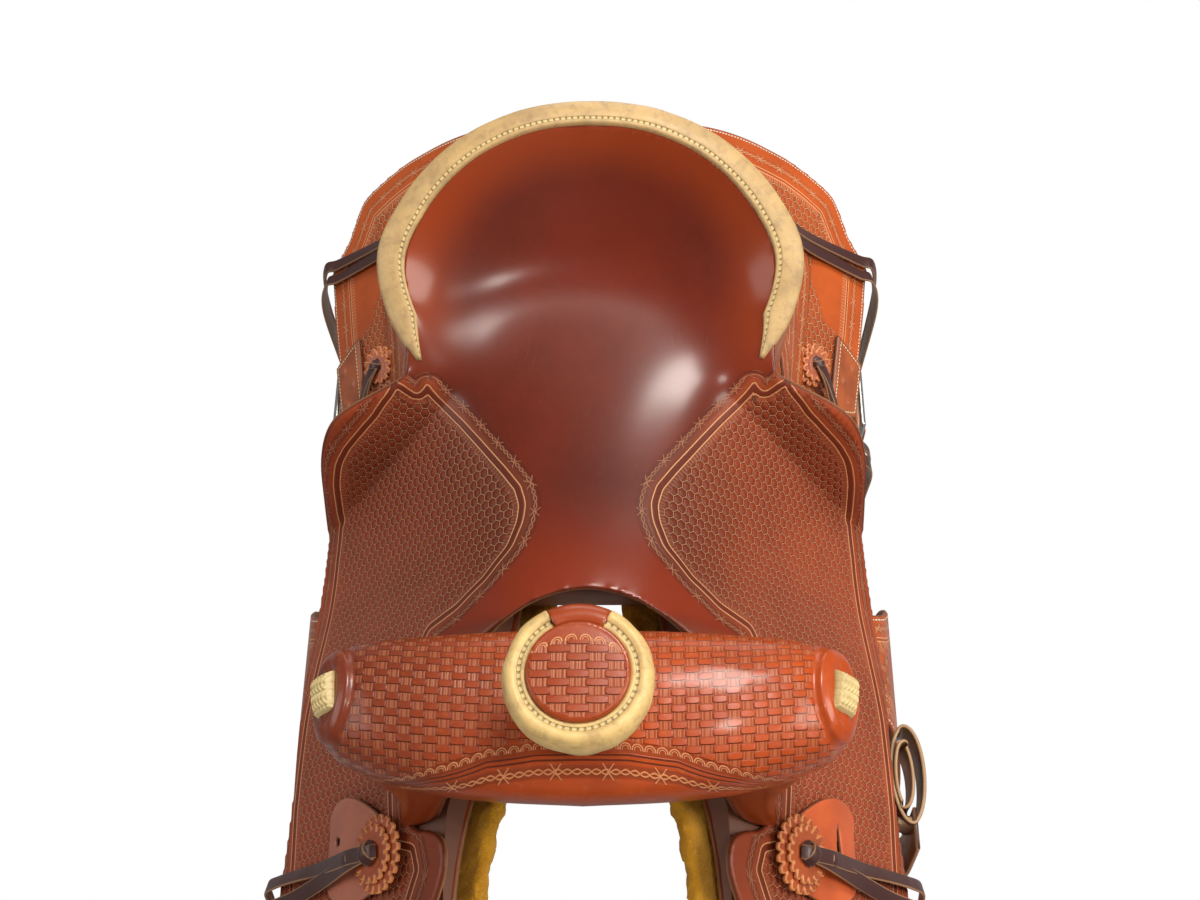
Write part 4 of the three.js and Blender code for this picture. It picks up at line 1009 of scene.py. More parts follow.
def steel_material(name, tint):
    mat = Shader(name, tint)
    mat.mottle((120, 112, 100), 0.4, size=7, rise=(0.5, 0.8), detail=4, rough=0.65)
    mat.mottle((220, 220, 220), 0.2, size=1.5, rise=(0.6, 0.8))
    return mat.done(mat.bumps(2.2, 0.04), Metallic=1.0,
                    Roughness=mat.noise(4, detail=4, rough=0.7) * 0.3 + 0.2)


def wood_material(name, light, dark, stretch, rough, coat):
    mat = Shader(name, light)
    figure = mat.noise(5, detail=5, rough=0.6, stretch=stretch, distort=0.6)
    mat.mix(figure.rise(0.35, 0.7), dark, amount=0.7)
    mat.mottle(dark, 0.35, size=1.2, rise=(0.55, 0.8), stretch=stretch)
    mat.mottle(dark, 0.3, size=60, rise=(0.4, 0.7), detail=2)
    return mat.done(
        (figure - 0.5) * 0.12 + mat.bumps(0.8, 0.05, detail=2, stretch=stretch),
        Roughness=mat.noise(10) * 0.2 + rough - 0.1, Coat_Weight=coat, Coat_Roughness=0.2)


SEAT = seat_material()
FORK = cover_material("tooled_fork_leather", (170, 68, 18), (80, 34, 18), pitch=18.0, half=5.0,
                      panel_from=(8.4, 9.6))
CAP = cover_material("tooled_cap_leather", (146, 58, 18), (214, 150, 108), pitch=23.6, half=7.2,
                     panel_from=(-1.0, 0.5), cap=True)
SKIRT = tooled("tooled_skirt_leather", (184, 84, 32), (142, 60, 24), (226, 178, 132), hexes=True,
               rough=0.4, coat=0.25, start=6.5, wire_at=-9.0, stitch=4.6, pale=0.5)
BASKET = dict(light=(176, 84, 38), dark=(132, 56, 26), line=(222, 170, 122), hexes=False,
              rough=0.38, coat=0.3, start=6.0, wire_at=-8.0, pitch=17.0)
RUSSET = tooled("tooled_russet_leather", **BASKET)
PLATE = plain("rigging_leather", (164, 84, 42), (118, 54, 28), (96, 54, 34), rough=0.42,
              coat=0.2, stitch=4.5)
FENDER = tooled("fender_leather", **{**BASKET, "light": (170, 82, 38), "dark": (126, 54, 26)},
                stitch=4.2)
RAWHIDE = rawhide_material("rawhide", (192, 160, 108), (160, 132, 92))
WRAP = rawhide_material("horn_rawhide", (214, 182, 118), (188, 156, 98))
GROUND = plain("ground_leather", (132, 80, 50), (96, 56, 34), (120, 80, 50), rough=0.6, coat=0.0)
STRAP = plain("stirrup_leather_strap", (158, 86, 46), (118, 60, 32), (96, 52, 30), rough=0.45,
              coat=0.15, stitch=5.0)
ROSETTE = plain("rosette_leather", (168, 78, 36), (120, 52, 28), (212, 140, 84), rough=0.42,
                coat=0.1, raw_width=1.3, under=None)
KEEPER = plain("keeper_leather", (190, 86, 40), (156, 66, 32), (110, 66, 42), rough=0.42,
               coat=0.12, raw_width=0.8)
STRING = plain("string_leather", (90, 46, 42), (62, 32, 30), (156, 118, 84), rough=0.42,
               coat=0.1, raw_width=0.8, grain=0.1, under=(120, 92, 70))
LATIGO = plain("latigo_leather", (96, 46, 38), (66, 32, 28), (172, 136, 96), rough=0.38,
               coat=0.25, grain=0.1, under=(130, 96, 68))
BILLET = plain("billet_leather", (202, 122, 50), (170, 94, 38), (120, 72, 36), rough=0.4,
               coat=0.3, stitch=3.4, raw_width=0.8)
TREAD = plain("tread_leather", (110, 62, 38), (80, 44, 28), (150, 110, 74), rough=0.6, coat=0.0,
              grain=0.3)
WOOL = wool_material()
STEEL = steel_material("brushed_steel", (186, 186, 182))
PLATED = steel_material("plated_steel", (196, 190, 176))
WOOD = wood_material("tree_wood", (206, 178, 132), (160, 124, 80), stretch=(1, 0.12, 1),
                     rough=0.55, coat=0.0)
BARS = plain("covered_tree_bars", (112, 58, 34), (78, 38, 24), (96, 54, 34), rough=0.5, coat=0.1,
             grain=0.3, under=None)
STIRRUP = wood_material("stirrup_wood", (196, 136, 78), (140, 84, 44), stretch=(0.3, 0.3, 0.08),
                        rough=0.4, coat=0.4)
LACE = plain("lace_rawhide", (204, 184, 130), (160, 134, 84), (222, 206, 164), rough=0.5,
             coat=0.1, under=None)
REAR_JOCKEY = tooled("tooled_rear_jockey", (168, 80, 38), (124, 54, 28), (226, 178, 132),
                     hexes=True, rough=0.38, coat=0.3, start=6.0, wire_at=-8.5)
ROPE_KEEPER = plain("rope_keeper_leather", (176, 104, 80), (150, 86, 66), (110, 72, 54),
                    rough=0.46, coat=0.08, raw_width=0.8)

for node_name, material in (
    ("tree_bar_left", BARS), ("tree_bar_right", BARS), ("tree_fork", BARS),
    ("tree_cantle", WOOD), ("horn_core", STEEL),
    ("stirrup_bolt_left", PLATED), ("stirrup_bolt_right", PLATED),
):
    slots = frame["nodes"][node_name].data.materials
    slots.clear()
    slots.append(material)

# ---- seat and front jockeys -----------------------------------------------------------------
# (y, half width) of the front jockeys
jockey_half = smooth_curve([
    (-335, 232), (-300, 252), (-253, 248), (-200, 242), (-100, 240), (0, 234), (50, 227),
    (64, 222), (78, 205), (90, 172), (98, 150), (104, 134)])
rim_angles = np.arange(0, 99.51, 0.25)
inner_radius = rim_radius(rim_angles) - ROLL_WIDTH - 0.4
inner_x = inner_radius * np.sin(np.radians(rim_angles))
inner_y = RIM_Y + inner_radius * np.cos(np.radians(rim_angles))


def rim_half(y):
    """Half width inside the cantle roll, from y back."""
    behind = inner_y >= y
    return max(float(inner_x[behind].max()) if behind.any() else 0.0, 14.0)


# unrolled length across the seat by (y, x), and x by (y, unrolled length)
TABLE_Y, TABLE_STEP = -350, 2.5
table_y, table_x = np.arange(TABLE_Y, 283, TABLE_STEP), np.arange(0, 290, 1.0)
across_rises = np.diff(seat_z(table_x[None], table_y[:, None]), axis=1)
length_of_x = np.concatenate(
    [np.zeros((len(table_y), 1)), np.cumsum(np.hypot(1.0, across_rises), axis=1)], axis=1)
x_of_length = np.stack([np.interp(np.arange(0, 430, 1.0), row, table_x) for row in length_of_x])


def sample(table, row, column):
    """Bilinear lookup."""
    row = np.clip(row, 0, table.shape[0] - 1.001)
    column = np.clip(column, 0, table.shape[1] - 1.001)
    i, j = row.astype(int), column.astype(int)
    down, right = row - i, column - j
    return ((table[i, j] * (1 - right) + table[i, j + 1] * right) * (1 - down)
            + (table[i + 1, j] * (1 - right) + table[i + 1, j + 1] * right) * down)


def lookup(table, across, y):
    row = (np.asarray(y, float) - TABLE_Y) / TABLE_STEP
    return np.sign(across) * sample(table, row, np.abs(across))


def unrolled(points):
    """(x, y) in plan to (length across, y)."""
    return np.stack([lookup(length_of_x, points[:, 0], points[:, 1]), points[:, 1]], 1)


def on_unrolled(across, y, off):
    return on_seat(lookup(x_of_length, across, y), y, off)


# (x, y) down the left of the front opening, and round the front corner of the jockey
FRONT_EDGE = [
    (30, -98), (55, -110), (80, -128), (134, -140), (136, -200), (134, -244), (104, -252),
    (98, -275), (106, -300), (118, -322), (130, -335), (196, -335), (222, -331), (238, -318)]
# y of the stations inside the cantle roll
RIM_STATIONS = (112, 120, 130, 140, 150, 160, 170, 180, 190, 200, 210, 220, 230, 238, 246, 252,
                258, 263, 267, 270)
# (x, y) round the left tooled panel
PANEL = np.array([
    (129.6, 98.5), (114.7, 85.5), (100, 68), (85.7, 49), (63.3, 18), (51.5, 0), (47.0, -16),
    (48.3, -32), (56, -54), (75, -77), (97.2, -93), (120, -100), (146, -150), (146, -200),
    (142, -248), (124, -256), (119, -275), (128, -300), (150, -315), (214, -313), (232, -296),
    (238, -260), (238, -200), (234.5, -127), (229.5, -87), (226, -53), (223, -20), (221, 13),
    (219, 43), (217, 56), (212, 63), (203, 69), (190, 75.5), (176, 82.5), (163, 91), (154, 98),
    (147, 96), (139, 92.5), (134, 94)])


def seat_outline():
    left = FRONT_EDGE + [(jockey_half(-300), -300)]
    left += [(float(jockey_half(y)), y) for y in np.arange(-290, 96, 5.0)]
    left += [(max(float(jockey_half(y)), rim_half(y)), y) for y in (96, 100, 104)]
    left += [(rim_half(y), y) for y in RIM_STATIONS]
    left = np.array(left, float)
    loop = np.vstack([[(0, -92)], left, [(0, 270.5)], left[::-1] * np.array([-1, 1])])
    return unrolled(rounded(loop, 2))


def seat_tone(a, b, points):
    x, y = np.abs(points[:, 0]), points[:, 1]
    seat = ease(-118, -104, y) * (1 - ease(140, 190, x) * (1 - ease(96, 110, y)))
    near_seat = np.exp(-np.clip((x - 70) / 60.0, 0, 9)) * (1 - ease(80, 110, y))
    # painted shade: the off (-X) side is darkened a little
    painted_shade_off_side = 0.12 * ease(20, 140, -points[:, 0])
    return np.stack([np.clip(0.75 * near_seat + painted_shade_off_side, 0, 1), seat], 1)


def stamp_rows(across, y):
    """True length of the leather along y, so that stamp rows keep their size."""
    grid_a, grid_y = np.meshgrid(np.arange(0, 436, 4.0), np.arange(-346, 286, 2.0), indexing="ij")
    points = on_unrolled(grid_a, grid_y, 0.0)
    steps = np.cumsum(np.linalg.norm(np.diff(points, axis=1), axis=2), axis=1)
    rows = np.concatenate([np.zeros((len(points), 1)), steps], axis=1)
    rows -= rows[:, 148:149]  # zero at y = -50
    return sample(rows, np.abs(across) / 4.0, (y + 346) / 2.0)


def seat_blur(x, y):
    """How far a blurred seat lies above the sharp one."""
    grid_x, grid_y = np.arange(-230, 231, 2.5), np.arange(-200, 351, 2.5)
    sharp = seat_z(grid_x[:, None], grid_y[None])
    kernel = np.exp(-0.5 * (np.arange(-22, 23) / 8.4) ** 2)
    kernel /= kernel.sum()
    soft = sharp
    for axis in (0, 1):
        soft = np.apply_along_axis(
            lambda row: np.convolve(np.pad(row, 22, mode="edge"), kernel, "valid"), axis, soft)
    return sample(soft - sharp, (x + 230) / 2.5, (y + 200) / 2.5)


def relax(verts, faces, weights, rounds=110):
    """Moves each point towards the mean of its neighbours, by its weight."""
    n = len(verts)
    ends = np.array([(f[i], f[(i + 1) % len(f)])
                     for f in faces if max(f) < n for i in range(len(f))])
    one, two = ends[:, 0], ends[:, 1]
    degree = np.bincount(one, minlength=n) + np.bincount(two, minlength=n) + 1e-9
    verts = verts.copy()
    for _ in range(rounds):
        total = np.stack([
            np.bincount(one, verts[two, k], n) + np.bincount(two, verts[one, k], n)
            for k in range(3)], 1)
        verts += (total / degree[:, None] - verts) * (weights * 0.7)[:, None]
    return verts


def seat_piece():
    outline = seat_outline()
    piece = shell(outline, on_unrolled, -5.0, 0.0, grid=2.2, edge_radius=1.6, tone=seat_tone)
    n = len(piece.verts) // 2
    top = piece.verts[:n]
    plan = piece.pa[:n, :2] * 1.0
    # distances in space from the panel and from the cut edge
    panel = rounded(resample(unrolled(PANEL), 6.0), 1)
    folded = np.hstack([np.abs(top[:, :1]), top[:, 1:]])
    depth, border, _ = nearest(folded, on_unrolled(panel[:, 0], panel[:, 1], 0.0))
    in_panel = inside(np.stack([np.abs(plan[:, 0]), plan[:, 1]], 1), panel)
    depth = np.where(in_panel, depth, -depth)
    piece.pb[:, 1], piece.pb[:, 2] = np.tile(depth, 2), np.tile(border, 2)
    rim = resample(outline, 4.0)
    edge = nearest(top, on_unrolled(rim[:, 0], rim[:, 1], 0.0))[0]
    edge = np.where(piece.pa[:n, 2] <= 0, 0.0, edge)
    piece.pa[:, 2] = np.tile(edge, 2)
    piece.pa[:, 1] = np.tile(stamp_rows(plan[:, 0], plan[:, 1]), 2)
    # the stretched seat leather rounds off the form under it
    seat = piece.pc[:n, 1]
    lift = np.clip(seat_blur(top[:, 0], top[:, 1]) * 1.25, -11, 11)
    lift = lift * (ease(6, 40, -depth) * ease(8, 46, edge) * seat)
    piece.verts[:, 2] += np.tile(lift, 2)
    weights = ease(3, 14, -depth) * ease(1.0, 6, edge) * seat
    move = relax(piece.verts[:n], piece.faces, weights) - piece.verts[:n]
    piece.verts = piece.verts + np.vstack([move, move])
    return piece


put(seat_piece(), "seat_and_jockeys_leather", "seat_and_jockeys", SEAT)


# ---- ground seat ----------------------------------------------------------------------------
def ground_piece():
    x, y = np.meshgrid(np.linspace(-104, 104, 70), np.linspace(-86, 222, 90), indexing="ij")
    top = on_seat(x, y, -6.9)
    over_bars = np.minimum(0.0, bar_z(np.abs(x), y) + 2.6)
    low = np.where(np.abs(x) < 30, 0.0, over_bars)
    return slab(top, xyz(x, y, np.minimum(low, top[..., 2] - 1.5)))


put(ground_piece(), "ground_seat_leather", "ground_seat", GROUND)

# ---- fork cover -----------------------------------------------------------------------------
# (distance from the middle, value): half depth, half height and centre of the section
fork_deep = smooth_curve([
    (0, 50), (60, 49), (110, 46), (150, 41), (170, 34), (180, 22), (184, 8)])
fork_high = smooth_curve([
    (0, 29), (60, 31), (110, 35), (150, 34), (170, 28), (180, 18), (184, 6)])
fork_y = smooth_curve([(0, -198), (100, -194), (184, -182)])
fork_z = smooth_curve([(0, 78), (60, 77), (110, 70), (150, 62), (184, 56)])


def power(x, exponent):
    return np.sign(x) * np.abs(x) ** exponent


def fork_point(x, turn):
    """A place on the cover; turn is 0 at the back, pi/2 at the top and pi at the front."""
    across = np.abs(np.asarray(x, float))
    dy = fork_deep(across) * power(np.cos(turn), 2 / 2.4)
    dz = fork_high(across) * power(np.sin(turn), 2 / 2.4)
    full = 1 - np.clip(across / 186.0, 0, 1) ** 2.5
    return xyz(
        x,
        fork_y(across) + dy * (1 + full * np.where(dy < 0, 0.2, 0.14)),
        fork_z(across) + dz * (1 + full * np.where(dz < 0, 0.14, 0.05))
        - 3.0 * full * np.clip(-dy / 40.0, 0, 1),
    )


LACE_AT = fork_point(175.0, math.radians(92))
LACE_NORMAL = unit(np.array([0.72, -0.12, 0.68]))


def fork_body():
    xs = 184.0 * np.sin(pi / 2 * np.linspace(-1, 1, 281))
    turns = np.linspace(0, 2 * pi, 168, endpoint=False)
    grid_x, grid_turn = np.meshgrid(xs, turns, indexing="ij")
    rings = fork_point(grid_x, grid_turn)
    # u runs along the ridge; round is the length forward and down from the ridge
    u = lengths_along(fork_point(xs, np.full(xs.shape, pi / 2)))
    u = np.broadcast_to((u - u[len(u) // 2])[:, None], grid_x.shape)
    fine = np.linspace(pi / 2, pi / 2 + 2 * pi, 337)
    girth = np.array([lengths_along(fork_point(np.full(fine.shape, x), fine)) for x in xs])
    wrapped = np.mod(turns - pi / 2, 2 * pi)
    round_ = np.array([np.interp(wrapped, fine - pi / 2, row) for row in girth])
    whole = girth[:, -1:]
    round_ = np.where(round_ > whole * 0.62, round_ - whole, round_)
    # the tooled panel's front border, as a turn at each station across
    border_turn = np.radians(np.interp(
        np.abs(xs), [0, 30, 62, 100, 130, 150, 184], [115, 117, 124, 147, 176, 197, 215]))
    border = [np.interp(t - pi / 2, fine - pi / 2, row) for t, row in zip(border_turn, girth)]
    depth = (np.array(border) + 6.0)[:, None] - round_
    # a bare oval with a raised ring round the lacing on each swell
    patch, lift = np.zeros(grid_x.shape), np.zeros(grid_x.shape)
    for sign in (1, -1):
        centre = LACE_AT * np.array([sign, 1, 1])
        normal = LACE_NORMAL * np.array([sign, 1, 1])
        along = unit(np.array([0, 1.0, 0]) - normal * normal[1])
        offset = rings - (centre - normal * 2)
        a, b = offset @ along, offset @ (np.cross(normal, along) * sign)
        rho = np.sqrt((a / 33.0) ** 2 + ((b + 2.0) / 25.0) ** 2)
        on = (offset @ normal > -26) & (np.sign(grid_x) == sign)
        patch = np.maximum(patch, np.where(on, 1 - ease(1.06, 1.12, rho), 0))
        ring = 2.6 * (ease(0.52, 0.72, rho) * (1 - ease(0.9, 1.02, rho)))
        lift += np.where(on, ring - 0.8 * np.exp(-(((rho - 1.08) / 0.05) ** 2)), 0)
    patch = np.maximum(patch, ease(0.1, 0.5, -np.sin(grid_turn)) * (round_ < 0))
    around = np.roll(rings, -1, 1) - np.roll(rings, 1, 1)
    normals = unit(np.cross(around, np.gradient(rings, axis=0)))
    outward = (normals * (rings - rings.mean(1, keepdims=True))).sum(-1, keepdims=True)
    normals = np.where(outward < 0, -normals, normals)
    cover = loft(rings + normals * lift[..., None])
    k = grid_x.size
    away = np.full(grid_x.shape, FAR)
    # painted shade: darker towards the off (-X) side and on the underside
    shade = 0.75 * ease(10, 170, -grid_x) + 0.25 * ease(0, 1, -np.sin(grid_turn))
    cover.pa[:k] = np.stack([u, -round_, away], -1).reshape(-1, 3)
    cover.pb[:k] = np.stack([u, depth, u], -1).reshape(-1, 3)
    cover.pc[:k] = np.stack([shade, patch, np.ones(grid_x.shape)], -1).reshape(-1, 3)
    cover.pc[k:] = [0, 1, 1]
    return cover


def fork_leg():
    """The left leg of the fork, from the tree bar up into the body."""
    turns = np.linspace(0, 2 * pi, 56, endpoint=False)
    along, across = power(np.cos(turns), 0.45), power(np.sin(turns), 0.45)
    foot = on_bar(-193 + along * 49, 32 + across * 26, 1.4)
    rings = []
    for t in np.linspace(0, 1, 24):
        half = 24 + 26 * float(ease(0.42, 0.85, t))
        head = xyz(104 + across * half, fork_y(100) + along * 42, 62)
        rings.append(foot * (1 - t) + head * t)
    leg = loft(rings)
    leg.pb[:] = [0, -40, 0]
    leg.pc[:] = [0.3, 1, 1]
    return leg


leg = fork_leg()
put(fork_body() + leg + leg.mirrored(), "fork_cover_leather", "fork_cover", FORK)


# ---- swell lacing: a braided rawhide patch --------------------------------------------------
def lace_piece():
    half_a, half_b, strand = 13.5, 10.5, 5.2
    a, b = np.meshgrid(np.linspace(-half_a, half_a, 61), np.linspace(-half_b, half_b, 49),
                       indexing="ij")
    edge = np.minimum(half_a - np.abs(a), half_b - np.abs(b))
    band = np.mod(a + 26, strand) / strand
    slant = np.where(np.floor((a + 26) / strand) % 2 == 0, 1, -1) * band * 0.9
    braid = 1.2 * np.abs(np.sin(pi * ((a + 26) / strand))) ** 0.6
    braid += 1.3 * np.abs(np.sin(pi * (b / 3.4 + slant))) ** 0.7
    braid += 0.25 * noise_at(np.stack([a, b, a * 0], -1) + 100, 1.3)
    top = 0.6 + 2.6 * np.sqrt(np.clip(edge / 4.0, 0.0, 1)) + braid * ease(0, 2.0, edge)
    normal = LACE_NORMAL
    down = unit(np.array([0, 0, -1.0]) + normal * normal[2])
    sheet = LACE_AT + normal + b[..., None] * down + a[..., None] * np.cross(normal, down)
    drop = -0.010 * a**2 - 0.012 * b**2
    lace = slab(sheet + (top + drop)[..., None] * normal, sheet + (drop - 4.0)[..., None] * normal)
    # painted shade: darker in the braid's valleys
    lace.pc[:a.size, 0] = np.clip(1.0 - braid.ravel() / 1.9, 0, 1)
    return lace


put_pair(lace_piece(), "swell_lacing", "swell_lace", LACE)

# ---- horn -----------------------------------------------------------------------------------
HORN_Y = -206.0
LIP_HALF = math.radians(27)  # half the turn at the back where the leather lip breaks the wrap
CAP_RADIUS = 32.3
# closed sections as (radius, z)
WRAP_SECTION = [
    (31.6, 178.4), (32.2, 180.4), (34, 181.4), (35.6, 180.9), (36.6, 180.1), (37.6, 181.2),
    (39.5, 183.0), (42, 183.1), (44.6, 181.2), (46.8, 177.6), (47.8, 173), (48, 168.6),
    (47.2, 164), (45.2, 159.6), (42, 156.4), (38, 154.4), (33, 153.4), (30, 153.2), (28.8, 158),
    (34, 162.6), (38.9, 163.6), (38.9, 176.4)]
NECK_SECTION = [
    (18.8, 153), (28.5, 153.6), (30.5, 154.6), (27, 151), (23.6, 145), (22.4, 136), (22.6, 126),
    (24.4, 117), (27.5, 112.5), (30.6, 110.6), (21.2, 109.6), (18.9, 127)]
LIP_SECTION = [
    (30.6, 178.2), (30.8, 182.6), (34, 184.4), (39, 184.3), (43, 182.4), (46, 178.4),
    (47.4, 172.6), (46.8, 165), (44, 158.4), (40, 155), (33, 153.6), (29.4, 153.6), (29, 158),
    (34, 162.4), (38.9, 163.2), (38.9, 176.6)]


def turned(section, start=0.0, stop=2 * pi, segments=96):
    """A closed section turned about the horn's upright axis."""
    radius, z = np.asarray(section, float).T
    full = abs(stop - start - 2 * pi) < 1e-6
    turn = np.linspace(start, stop, segments, endpoint=not full)
    x, y = radius * np.cos(turn)[:, None], radius * np.sin(turn)[:, None]
    return loft(xyz(x, HORN_Y + y, z[None]), full, not full, along=turn * 40.0)


def horn_wrap():
    wrap = turned(WRAP_SECTION, pi / 2 + LIP_HALF, pi / 2 + 2 * pi - LIP_HALF, 150)
    verts = wrap.verts
    x, y = verts[:, 0], verts[:, 1] - HORN_Y
    radius, turn = np.hypot(x, y), np.mod(np.arctan2(y, x) - pi / 2, 2 * pi)
    lump = (noise_at(verts + 300, 14.0) - 0.5) * 1.6 + (noise_at(verts + 100, 6.0) - 0.5) * 0.6
    core = xyz(39 * np.cos(turn + pi / 2), HORN_Y + 39 * np.sin(turn + pi / 2), 169)
    keep = ease(36.8, 40, radius) * (verts[:, 2] > 153.5)
    verts = verts + unit(verts - core) * (lump * keep - 0.5 * keep)[:, None]
    verts[:, 2] = np.minimum(verts[:, 2], 185)
    wrap.verts = verts
    groove = np.where(verts[:, 2] > 170, radius - 36.5, FAR)
    wrap.pb = np.stack([turn * 38.0, groove, turn * 38], 1)
    neck = turned(NECK_SECTION, segments=72)
    neck.pb[:, 1] = FAR
    return wrap + neck


def horn_cap():
    circle = [(CAP_RADIUS * math.cos(t), CAP_RADIUS * math.sin(t))
              for t in np.linspace(0, 2 * pi, 120, endpoint=False)]
    cap = shell(circle, lambda a, b, off: xyz(a, HORN_Y + b, 176.8 + off), 0.0, 8.2, grid=1.1,
                edge_radius=2.0,
                relief=lambda u, v, edge: -1.1 * ((u**2 + v**2) / CAP_RADIUS**2) + 0.4)
    a, b = cap.pa[:, 0], cap.pa[:, 1]
    depth = np.minimum(29.6 - np.hypot(a, b), 19.5 - b - 0.012 * a**2 + 1.2)
    cap.pb = np.stack([a, depth, a], 1)
    cap.pa[:, 2] = FAR
    cap.pc[:, 2] = 1
    lip = turned(LIP_SECTION, pi / 2 - LIP_HALF + 0.012, pi / 2 + LIP_HALF - 0.012, 26)
    lip.pb[:, 1] = -40
    lip.pa[:] = [0, 0, FAR]
    lip.pc[:] = [0, 1, 1]
    return cap + lip


put(horn_wrap(), "horn_wrap_rawhide", "horn_wrap", WRAP)
put(horn_cap(), "horn_cap_leather", "horn_cap_cover", CAP)

# ---- cantle ---------------------------------------------------------------------------------
MM_PER_DEGREE = 2.95
BACK_HALF = 283  # half length of the back cover
back_angles = np.linspace(-96, 96, 150)


def cantle_radius(angle, rise):
    """Radius of the cantle's back, from rise 0 at its foot to 1 at its top."""
    return rim_radius(angle) - 8 - 9 * (1 - rise)


foot = arc_point(np.abs(back_angles), cantle_radius(np.abs(back_angles), 0) + 5, 0)
back_foot_z = bar_z(foot[:, 0], foot[:, 1]) + 9


def on_cantle_back(a, b, off):
    """a is mm round the arc, b is 0 at the foot and 100 at the top."""
    angle = a / MM_PER_DEGREE
    low = np.interp(angle, back_angles, back_foot_z)
    rise = np.clip(b, 0, 1e9) / 100.0
    radius = cantle_radius(np.abs(angle), rise) + 1.7 + off
    return arc_point(angle, radius, low + (rim_z(np.abs(angle)) - 10 - low) * rise)


def cantle_back():
    corners = [(-BACK_HALF, 0), (BACK_HALF, 0), (BACK_HALF, 100), (-BACK_HALF, 100)]
    back = shell(resample(corners, 4.0), on_cantle_back, 0.0, 4.0, edge_radius=1.2)
    u = back.pa[:, 0]
    height = np.interp(u / MM_PER_DEGREE, back_angles,
                       rim_z(np.abs(back_angles)) - 10 - back_foot_z)
    v = back.pa[:, 1] / 100.0 * height
    edge = np.minimum(np.minimum(v, height - v), BACK_HALF - np.abs(u))
    back.pa[:, 1], back.pa[:, 2] = v, edge
    back.pb = np.stack([u, edge - 17, u], 1)
    return back


# (out from the inner edge of the roll, up from the rim)
BINDING_SECTION = [
    (0, -7.5), (0.5, -1), (2.4, 0.1), (4.2, -0.3), (6, 1.2), (10, 1.5), (13, 1), (17, 0.3),
    (20, -0.8), (23, -2.2), (24.4, -4.6), (24, -8), (20, -9), (12, -8.8), (4, -8.8)]


def cantle_binding():
    out, up = rounded(BINDING_SECTION, 1).T
    angles = np.linspace(-99, 99, 230)[:, None]
    size = np.abs(angles)
    narrow = np.where(size > 86, 1 - (size - 86) / 15.5, 1.0)  # the roll tapers at its ends
    flat = np.where(size > 90, 0.55 + 0.45 * narrow, 1.0)
    rings = arc_point(angles, rim_radius(size) - 0.6 - (24.4 - out) * narrow,
                      rim_z(size) + up * flat)
    rings[..., 2] += ((noise_at(rings + 400, 18.0) - 0.5) * 0.9) * (up > -5)
    piece = loft(rings)
    k = rings.shape[0] * rings.shape[1]
    along = np.repeat(lengths_along(rings[:, 0]), len(out))
    groove = np.tile(np.where(up > -5, out - 4.3, FAR), len(angles))
    piece.pb[:k] = np.stack([along, groove, along], 1)
    piece.pb[k:, 1] = FAR
    return piece


put(cantle_back(), "cantle_back_leather", "cantle_back_cover", RUSSET)
put(cantle_binding(), "cantle_binding_rawhide", "cantle_binding", RAWHIDE)

# ---- skirts and fleece ----------------------------------------------------------------------
# outlines are (y, down)
skirt_low = straight_curve([
    (-345, 236), (-341, 258), (-330, 276), (-305, 292), (-260, 301), (-100, 306), (60, 296),
    (200, 273), (345, 269), (364, 241), (382, 226), (397, 212), (406, 180), (411, 150)])
skirt_high = straight_curve([(-345, 10), (-300, 6), (285, 2), (318, -6), (411, -22)])
fleece_high = straight_curve([
    (-340, -8), (-120, -22), (60, -14), (300, -14), (340, -26), (407, -30)])
LOW_STATIONS = (-345, -341, -330, -305, -260, -180, -100, -20, 60, 130, 200, 270, 330, 345, 364,
                382, 397, 406, 411)
BACK_DOWNS = (120, 90, 60, 30, 0)
PATCH = rounded(np.array([
    (262, 210), (262, 262), (340, 262), (352, 236), (346, 196), (300, 186), (284, 204)], float))

low_edge = spline([(y, float(skirt_low(y))) for y in LOW_STATIONS], 5.0)
low_edge[:, 0] = np.clip(low_edge[:, 0], -345, 411)


def on_flank_back(y, down, height):
    """The flank, with its back edge drawn forward near the top."""
    pull = ((y - 318) / 93) * 30 * (1 - np.clip(down / 120, 0, 1)) ** 2
    return flank(np.where(y > 318, y - pull, y), down, height)


def skirt_tone(a, b, points):
    plan = np.stack([a, b], 1)
    dist = nearest(plan, PATCH)[0]
    depth = np.where(inside(plan, PATCH), dist, -dist)
    return np.stack([0.3 * (1 - ease(60, 160, b)), ease(-1.5, 0.5, depth)], 1)


def skirt_piece():
    top = [(y, float(skirt_high(y))) for y in np.arange(411, -346, -12.0)]
    outline = np.vstack([low_edge, [(411, down) for down in BACK_DOWNS], top,
                         [(-345, down) for down in (40, 80, 120, 160, 200)]])
    skirt = shell(rounded(outline), lambda a, b, off: on_flank_back(a, b, SKIRT_BASE + off), 0.0,
                  SKIRT_THICK, grid=2.6, edge_radius=1.8, swap=True, tone=skirt_tone)
    skirt.pb[:, 1] = skirt.pa[:, 2] - 27.0
    return skirt


